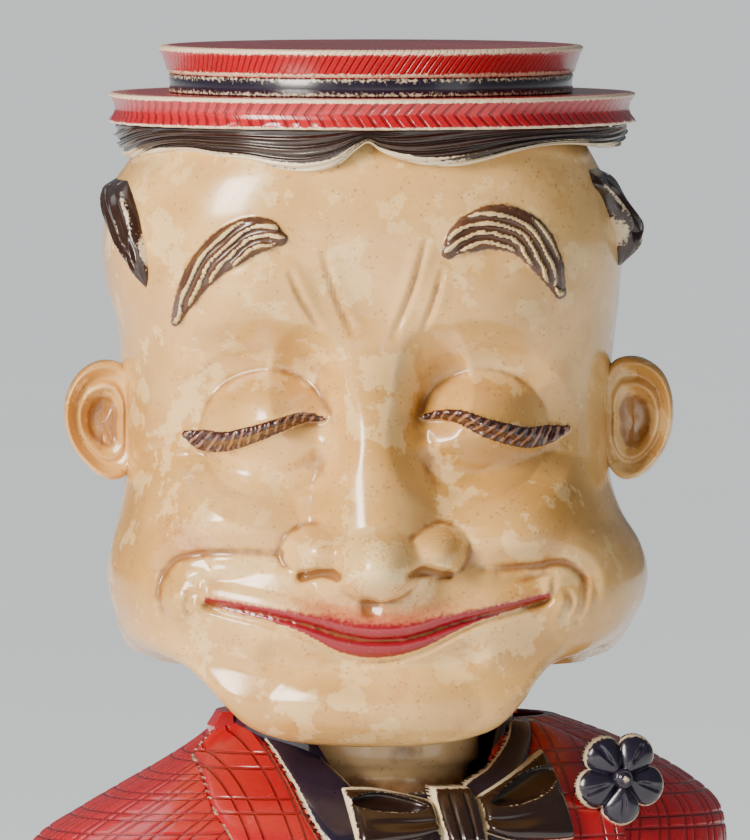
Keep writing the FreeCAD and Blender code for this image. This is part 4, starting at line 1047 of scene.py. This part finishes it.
def strap(name, edge_a, edge_b, lift, crown, material, nodes, rows=90, columns=33, extra=None,
          rim=0.10):
    """A pad between two edges: edges blend across, the face bulges, and both ends close down to nothing."""
    a, b = along(edge_a, rows), along(edge_b, rows)
    across = np.linspace(0, 1, columns)[None, :]
    down = np.linspace(0, 1, rows)[:, None]
    x = a[:, 0][:, None] * (1 - across) + b[:, 0][:, None] * across
    z = a[:, 1][:, None] * (1 - across) + b[:, 1][:, None] * across
    side = np.abs(2 * across - 1)
    end = np.clip(1 - np.abs(2 * down - 1) ** 16, 0, 1) ** 0.5
    profile = (1 - side**10) ** 0.5
    face_out = (lift * profile + crown * (1 - side**2)) * end
    if extra is not None:
        face_out = face_out + extra(across, down, x, z) * profile * end
    ground = bust_front(x, z)
    front = np.stack([x, ground - face_out, z], axis=-1)
    rear = np.stack([x, ground + 0.25 * profile * end, z], axis=-1)
    points = np.concatenate([front, rear[:, ::-1]], axis=1)
    rims = np.clip(step(side, 1 - rim, 1.0) + step(np.abs(2 * down - 1), 0.97, 1.0), 0, 1)
    up = relief(face_out, 4)
    worn = np.concatenate([np.clip(rims + 0.9 * np.clip(up, 0, 1), 0, 1), np.zeros_like(rims)], axis=1)
    # Dips take the wash: a darker red on the lapels as painted shade, a browner tone on navy and on the tie.
    low = np.concatenate([np.clip(-up * 1.2, 0, 1), np.zeros_like(up)], axis=1)
    laid = np.concatenate([np.stack([x, z], axis=-1), np.stack([x, z], axis=-1)[:, ::-1]], axis=1)
    made = make_piece(name, turned(points), grid_faces(rows, 2 * columns, closed=True), material, "bust",
                      {"ridge": worn * 0.8, "hollow": low}, laid)
    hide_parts(*nodes)
    return made


strap("lapel_left_fold",
      [(-41, 130.8), (-48, 126.4), (-54, 120), (-59, 109), (-57.4, 95), (-60, 88), (-50, 82), (-42, 72),
       (-22, 58), (-1.2, 45.5)],
      [(-38.4, 130.8), (-37.4, 124), (-36.8, 115), (-35.6, 105), (-33.4, 99), (-28, 92), (-22, 83.5),
       (-15, 75), (-8, 67), (-1.2, 60)],
      2.4, 1.1, JACKET, ("lapel_left",), rows=140, rim=0.05)
strap("lapel_right_fold",
      [(41.5, 130.8), (51, 126.5), (58, 121), (59, 107), (57.4, 95), (60, 88), (50, 82), (42, 72), (22, 58),
       (1.2, 45.5)],
      [(40.5, 130.8), (37, 125.5), (31, 117.5), (28, 110), (32, 99), (28, 92), (22, 83.5), (15, 75), (8, 67),
       (1.2, 60)],
      2.4, 1.1, JACKET, ("lapel_right",), rows=140, rim=0.05)
strap("collar_left_fold",
      [(-38.2, 130.8), (-36.8, 124), (-36.2, 115), (-34.9, 105), (-32.8, 99), (-27.5, 91), (-22.4, 84.6)],
      [(-31, 130.8), (-27, 124), (-19.8, 112), (-19, 104), (-16.5, 98.5), (-13.5, 94)],
      2.8, 0.9, NAVY_PAINT, ("collar_leaf_left",), rim=0.16)
strap("collar_right_fold",
      [(40.6, 130.8), (36.6, 125), (30.5, 117), (25.5, 110.6), (30, 100), (26, 91), (22.4, 84.6)],
      [(34, 130.8), (28.5, 125), (20, 118.6), (10, 113), (13.6, 104), (13, 98), (13.5, 94)],
      2.8, 0.9, NAVY_PAINT, ("collar_leaf_right",), rim=0.16)


def placket(across, down, x, z):
    """A raised strip down the middle of the shirt with three studs."""
    strip = 0.5 * step(np.abs(x), 3.2, 2.6)
    studs = sum(np.exp(-(x**2 + (z - at) ** 2) / 2.2) for at in (70, 82, 94))
    return strip + 0.9 * studs


strap("shirt_bib", [(-22, 110.5), (-20, 104), (-14, 97), (-21, 84.5), (-11, 71.5), (-1.2, 60.5)],
      [(10, 113.5), (13.5, 104), (13.5, 97), (21, 84.5), (11, 71.5), (1.2, 60.5)],
      1.1, 0.2, NAVY_PAINT, ("shirt_front",), extra=placket, columns=61, rim=0.03)

stand_profile = [(37.1, 112.2), (39.9, 112.2), (39.9, 130), (39.6, 132.4), (38.9, 133.8), (37.9, 133.8),
                 (37.3, 132.4), (37.1, 130), (37.1, 112.2)]
stand = spun_piece("collar_band", stand_profile, 240, NAVY_PAINT, None, [0, 0, 0, 0.3, 0.8, 0.8, 0.4, 0, 0],
                   base=112)
gap_z = np.array([105.0, 105.0, 140.0, 140.0])[:, None]
gap_out = np.array([0, 1, 1, 0])[:, None]
gap_loop = np.array([(-13, -20), (13, -20), (20, -60), (-20, -60)], float)
gap_middle = gap_loop.mean(axis=0)
gap_x = gap_middle[0] + (gap_loop[None, :, 0] - gap_middle[0]) * gap_out
gap_y = gap_middle[1] + (gap_loop[None, :, 1] - gap_middle[1]) * gap_out
gap_points = np.stack([gap_x, gap_y, gap_z + 0 * gap_x], axis=-1)
gap_points[1:3, :, 0] *= np.array([1.0, 2.6])[:, None]
cut_with(stand, make_piece("stand_gap", turned(gap_points), grid_faces(4, 4, closed=True), NAVY_PAINT, None))
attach(stand, "bust")
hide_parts("collar_stand")

# ------------------------------------------------------------------ bow tie
# A dark brown moulded bow: two folded wings, each open along its top edge into a dark pocket, and a knot.
# Every rim is rubbed to cream.
TIE = aged_material("tie_paint", (0.018, 0.007, 0.004, 1), rub=0.9, specks=0.12)


def pocket(across, down, x, z):
    """The open mouth of a wing: a long oval sunk below the top edge, with pleats running to the knot."""
    mouth = np.clip(1 - ((across - 0.24) / 0.17) ** 2 - ((down - 0.54) / 0.42) ** 2, 0, 1) ** 0.45
    pleat = 0.7 * np.sin(across * 16 + 1.2) * step(across, 0.5, 0.6) * step(down, 0.95, 0.4)
    return pleat - 5.0 * mouth


strap("tie_left_wing", [(-0.4, 110.5), (-6, 112), (-16, 114.0), (-24.8, 114.2)],
      [(-0.4, 102), (-7, 100), (-16, 98.8), (-25.6, 98.4)], 7.6, 1.2, TIE, ("tie_wing_left",),
      rows=80, columns=81, extra=pocket, rim=0.13)
strap("tie_right_wing", [(12.6, 111), (19, 114), (29, 118.8), (38.6, 123.6)],
      [(12.6, 101.4), (20, 99), (30, 98.4), (40.2, 98.8)], 7.6, 1.2, TIE, ("tie_wing_right",),
      rows=80, columns=81, extra=pocket, rim=0.11)


def knot_folds(across, down, x, z):
    """Two creases down the knot."""
    return -0.9 * np.exp(-((across - 0.34) / 0.05) ** 2) - 0.9 * np.exp(-((across - 0.68) / 0.05) ** 2)


strap("tie_centre_knot", [(0.4, 114.2), (-0.4, 111), (-0.4, 102.6), (0.2, 98.6)],
      [(11.2, 114.2), (12.2, 111), (12.2, 102.6), (11.6, 98.6)], 8.6, 0.9, TIE, ("tie_knot",),
      rows=60, columns=41, extra=knot_folds, rim=0.12)

# ------------------------------------------------------------------ buttonhole flower
# Five fat navy petals round a button, on a wire stem that is pinned through the right lapel. Petals are
# moulded as one piece, and worn to cream on their rims.
FLOWER_AT = (55.5, 115.4)
FLOWER_BACK = -49.0  # depth of the flower's flat back
PETAL_RINGS, PETAL_TURNS = 40, 240
BUTTON_RINGS, BUTTON_TURNS = 16, 60


def flower_grid(rings, turns, outline, top):
    """A polar form on the lapel: rings grow to the outline, and the front is a height over each place."""
    share = np.linspace(0.0, 1, rings)[:, None]
    angle = np.linspace(0, 2 * math.pi, turns, endpoint=False)[None, :]
    radius = outline(angle) * share
    x = FLOWER_AT[0] + radius * np.cos(angle)
    z = FLOWER_AT[1] + radius * np.sin(angle)
    high = top(share, angle) + 0 * x
    front = np.stack([x, FLOWER_BACK - high, z], axis=-1)
    rear = np.stack([x, FLOWER_BACK + 0 * high, z], axis=-1)[::-1]
    return np.concatenate([front, rear]), high, share, angle


def petal_lobe(angle):
    """1 along the middle of each of the five petals, 0 between two."""
    return np.abs(np.cos(2.5 * (angle - math.radians(56))))


def petal_outline(angle):
    """Five lobes: the radius dips between petals."""
    return 9.0 + 4.6 * petal_lobe(angle) ** 0.5


def petal_top(share, angle):
    """Each petal is a pillow with a crease along its middle, and falls to its rim and to its neighbours."""
    lobe = petal_lobe(angle)
    pillow = np.sqrt(np.clip(1 - share**4, 0, 1)) * (2.6 + 2.4 * lobe**0.7)
    crease = 0.8 * np.exp(-((lobe - 1) / 0.03) ** 2) * step(share, 0.3, 0.5) * step(share, 0.95, 0.75)
    return np.clip(pillow - crease - 1.2 * np.exp(-(share / 0.3) ** 2), 0, 5.0)


petal_points, petal_high, petal_share, petal_angle = flower_grid(PETAL_RINGS, PETAL_TURNS, petal_outline,
                                                                 petal_top)
petal_rear = np.zeros((PETAL_RINGS, PETAL_TURNS))
petal_worn = np.vstack([step(petal_share, 0.86, 1.0) + 0 * petal_angle, petal_rear])
petal_low = np.vstack([np.clip(-relief(petal_high, 4) * 1.6, 0, 1), petal_rear])
petal_faces = grid_faces(2 * PETAL_RINGS, PETAL_TURNS, closed=True)
petals = make_piece("flower_petal_ring", turned(petal_points), petal_faces, NAVY_PAINT, "bust",
                    {"ridge": petal_worn * 0.9, "hollow": petal_low})
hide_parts("flower_petals")


def button_outline(angle):
    """A plain round."""
    return 3.0 + 0 * angle


def button_top(share, angle):
    """A shallow cap with a groove round it."""
    return 3.6 + 2.8 * np.sqrt(np.clip(1 - share**2, 0, 1)) - 0.5 * np.exp(-((share - 0.62) / 0.08) ** 2)


button_points, _, button_share, button_angle = flower_grid(BUTTON_RINGS, BUTTON_TURNS, button_outline,
                                                           button_top)
button_worn = np.vstack([0.6 * step(button_share, 0.7, 0.1) + 0 * button_angle,
                         np.zeros((BUTTON_RINGS, BUTTON_TURNS))])
button_faces = grid_faces(2 * BUTTON_RINGS, BUTTON_TURNS, closed=True)
button = make_piece("flower_button", turned(button_points), button_faces, NAVY_PAINT, "bust",
                    {"ridge": button_worn})
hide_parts("flower_centre")

# ------------------------------------------------------------------ coat buttons and jacket collar
# Painted as their neighbours are; their turned and moulded forms are the fitted parts themselves.


def dress(material, *names):
    """Puts a material on fitted parts that keep their own form."""
    for name in names:
        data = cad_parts[name].data
        data.materials.clear()
        data.materials.append(material)


PLAIN_RED = aged_material("collar_red_paint", JACKET_RED, wash_and_shade=(0.060, 0.008, 0.010, 1), specks=0.3)
dress(NAVY_PAINT, "coat_buttons")
dress(PLAIN_RED, "jacket_collar")

# ------------------------------------------------------------------ control stick and fittings
# Inside the bust: a beech stick with a ribbed rubber grip, a nylon swivel ring on a birch shelf, zinc screws
# and pin, and green felt under the base and under the ring's flange.
FITTING_BUMP = 0.0005  # metres


def fitting(name, make_colour, roughness, metallic=0.0, bump=0.0, scale=400.0):
    """A plain fitting's material: its colour from object coordinates, with a fine grain as bump."""
    material, tree, shader = new_material(name)
    at = put(tree, "ShaderNodeTexCoord").outputs["Object"]
    tree.links.new(make_colour(tree, at), shader.inputs["Base Color"])
    grain = put(tree, "ShaderNodeTexNoise", {"Vector": at, "Scale": scale, "Detail": 4.0}).outputs[0]
    dull = plus(tree, times(tree, grain, 0.25), roughness - 0.12)
    tree.links.new(dull, shader.inputs["Roughness"])
    shader.inputs["Metallic"].default_value = metallic
    if bump:
        raised = put(tree, "ShaderNodeBump", {"Height": grain, "Strength": bump, "Distance": FITTING_BUMP})
        tree.links.new(raised.outputs[0], shader.inputs["Normal"])
    return material


def wood_colour(light, dark, stretch):
    """Colour of wood: long streaks of noise, drawn out along one axis."""
    def colour(tree, at):
        drawn = put(tree, "ShaderNodeMapping", {"Vector": at, "Scale": stretch}).outputs[0]
        streak = put(tree, "ShaderNodeTexNoise", {"Vector": drawn, "Scale": 1.0, "Detail": 6.0,
                                                  "Distortion": 0.6}).outputs[0]
        return mixed(tree, rise(tree, streak, 0.35, 0.68), light, dark)
    return colour


def cloudy(first, second, scale):
    """Two close colours mixed by noise."""
    def colour(tree, at):
        cloud = put(tree, "ShaderNodeTexNoise", {"Vector": at, "Scale": scale, "Detail": 5.0}).outputs[0]
        return mixed(tree, rise(tree, cloud, 0.4, 0.62), first, second)
    return colour


BEECH = wood_colour((0.60, 0.39, 0.21, 1), (0.40, 0.22, 0.10, 1), (260, 260, 14))
BIRCH = wood_colour((0.62, 0.47, 0.29, 1), (0.47, 0.32, 0.17, 1), (18, 200, 700))
FELT = cloudy((0.03, 0.13, 0.07, 1), (0.05, 0.18, 0.10, 1), 900.0)
ZINC = cloudy((0.55, 0.55, 0.56, 1), (0.42, 0.42, 0.45, 1), 300.0)
NYLON = cloudy((0.72, 0.69, 0.60, 1), (0.64, 0.60, 0.50, 1), 120.0)
RUBBER = cloudy((0.022, 0.022, 0.024, 1), (0.036, 0.036, 0.038, 1), 500.0)
dress(fitting("beech", BEECH, 0.42, bump=0.15), "head_stick")
dress(fitting("birch_ply", BIRCH, 0.5, bump=0.2),
      "base_board", "screw_blocks", "shoulder_shelf", "shelf_cleats", "crown_block")
dress(fitting("green_felt", FELT, 0.95, bump=0.8, scale=1800.0), "base_felt", "felt_washer")
dress(fitting("zinc_steel", ZINC, 0.32, metallic=1.0, bump=0.08, scale=1500.0),
      "base_screws", "shelf_screws", "retainer_screws", "hat_screws", "nod_pin", "flower_stem")
dress(fitting("nylon", NYLON, 0.45, bump=0.1), "swivel_ring", "retaining_ring")
dress(fitting("rubber", RUBBER, 0.72, bump=0.5, scale=900.0), "stick_grip")
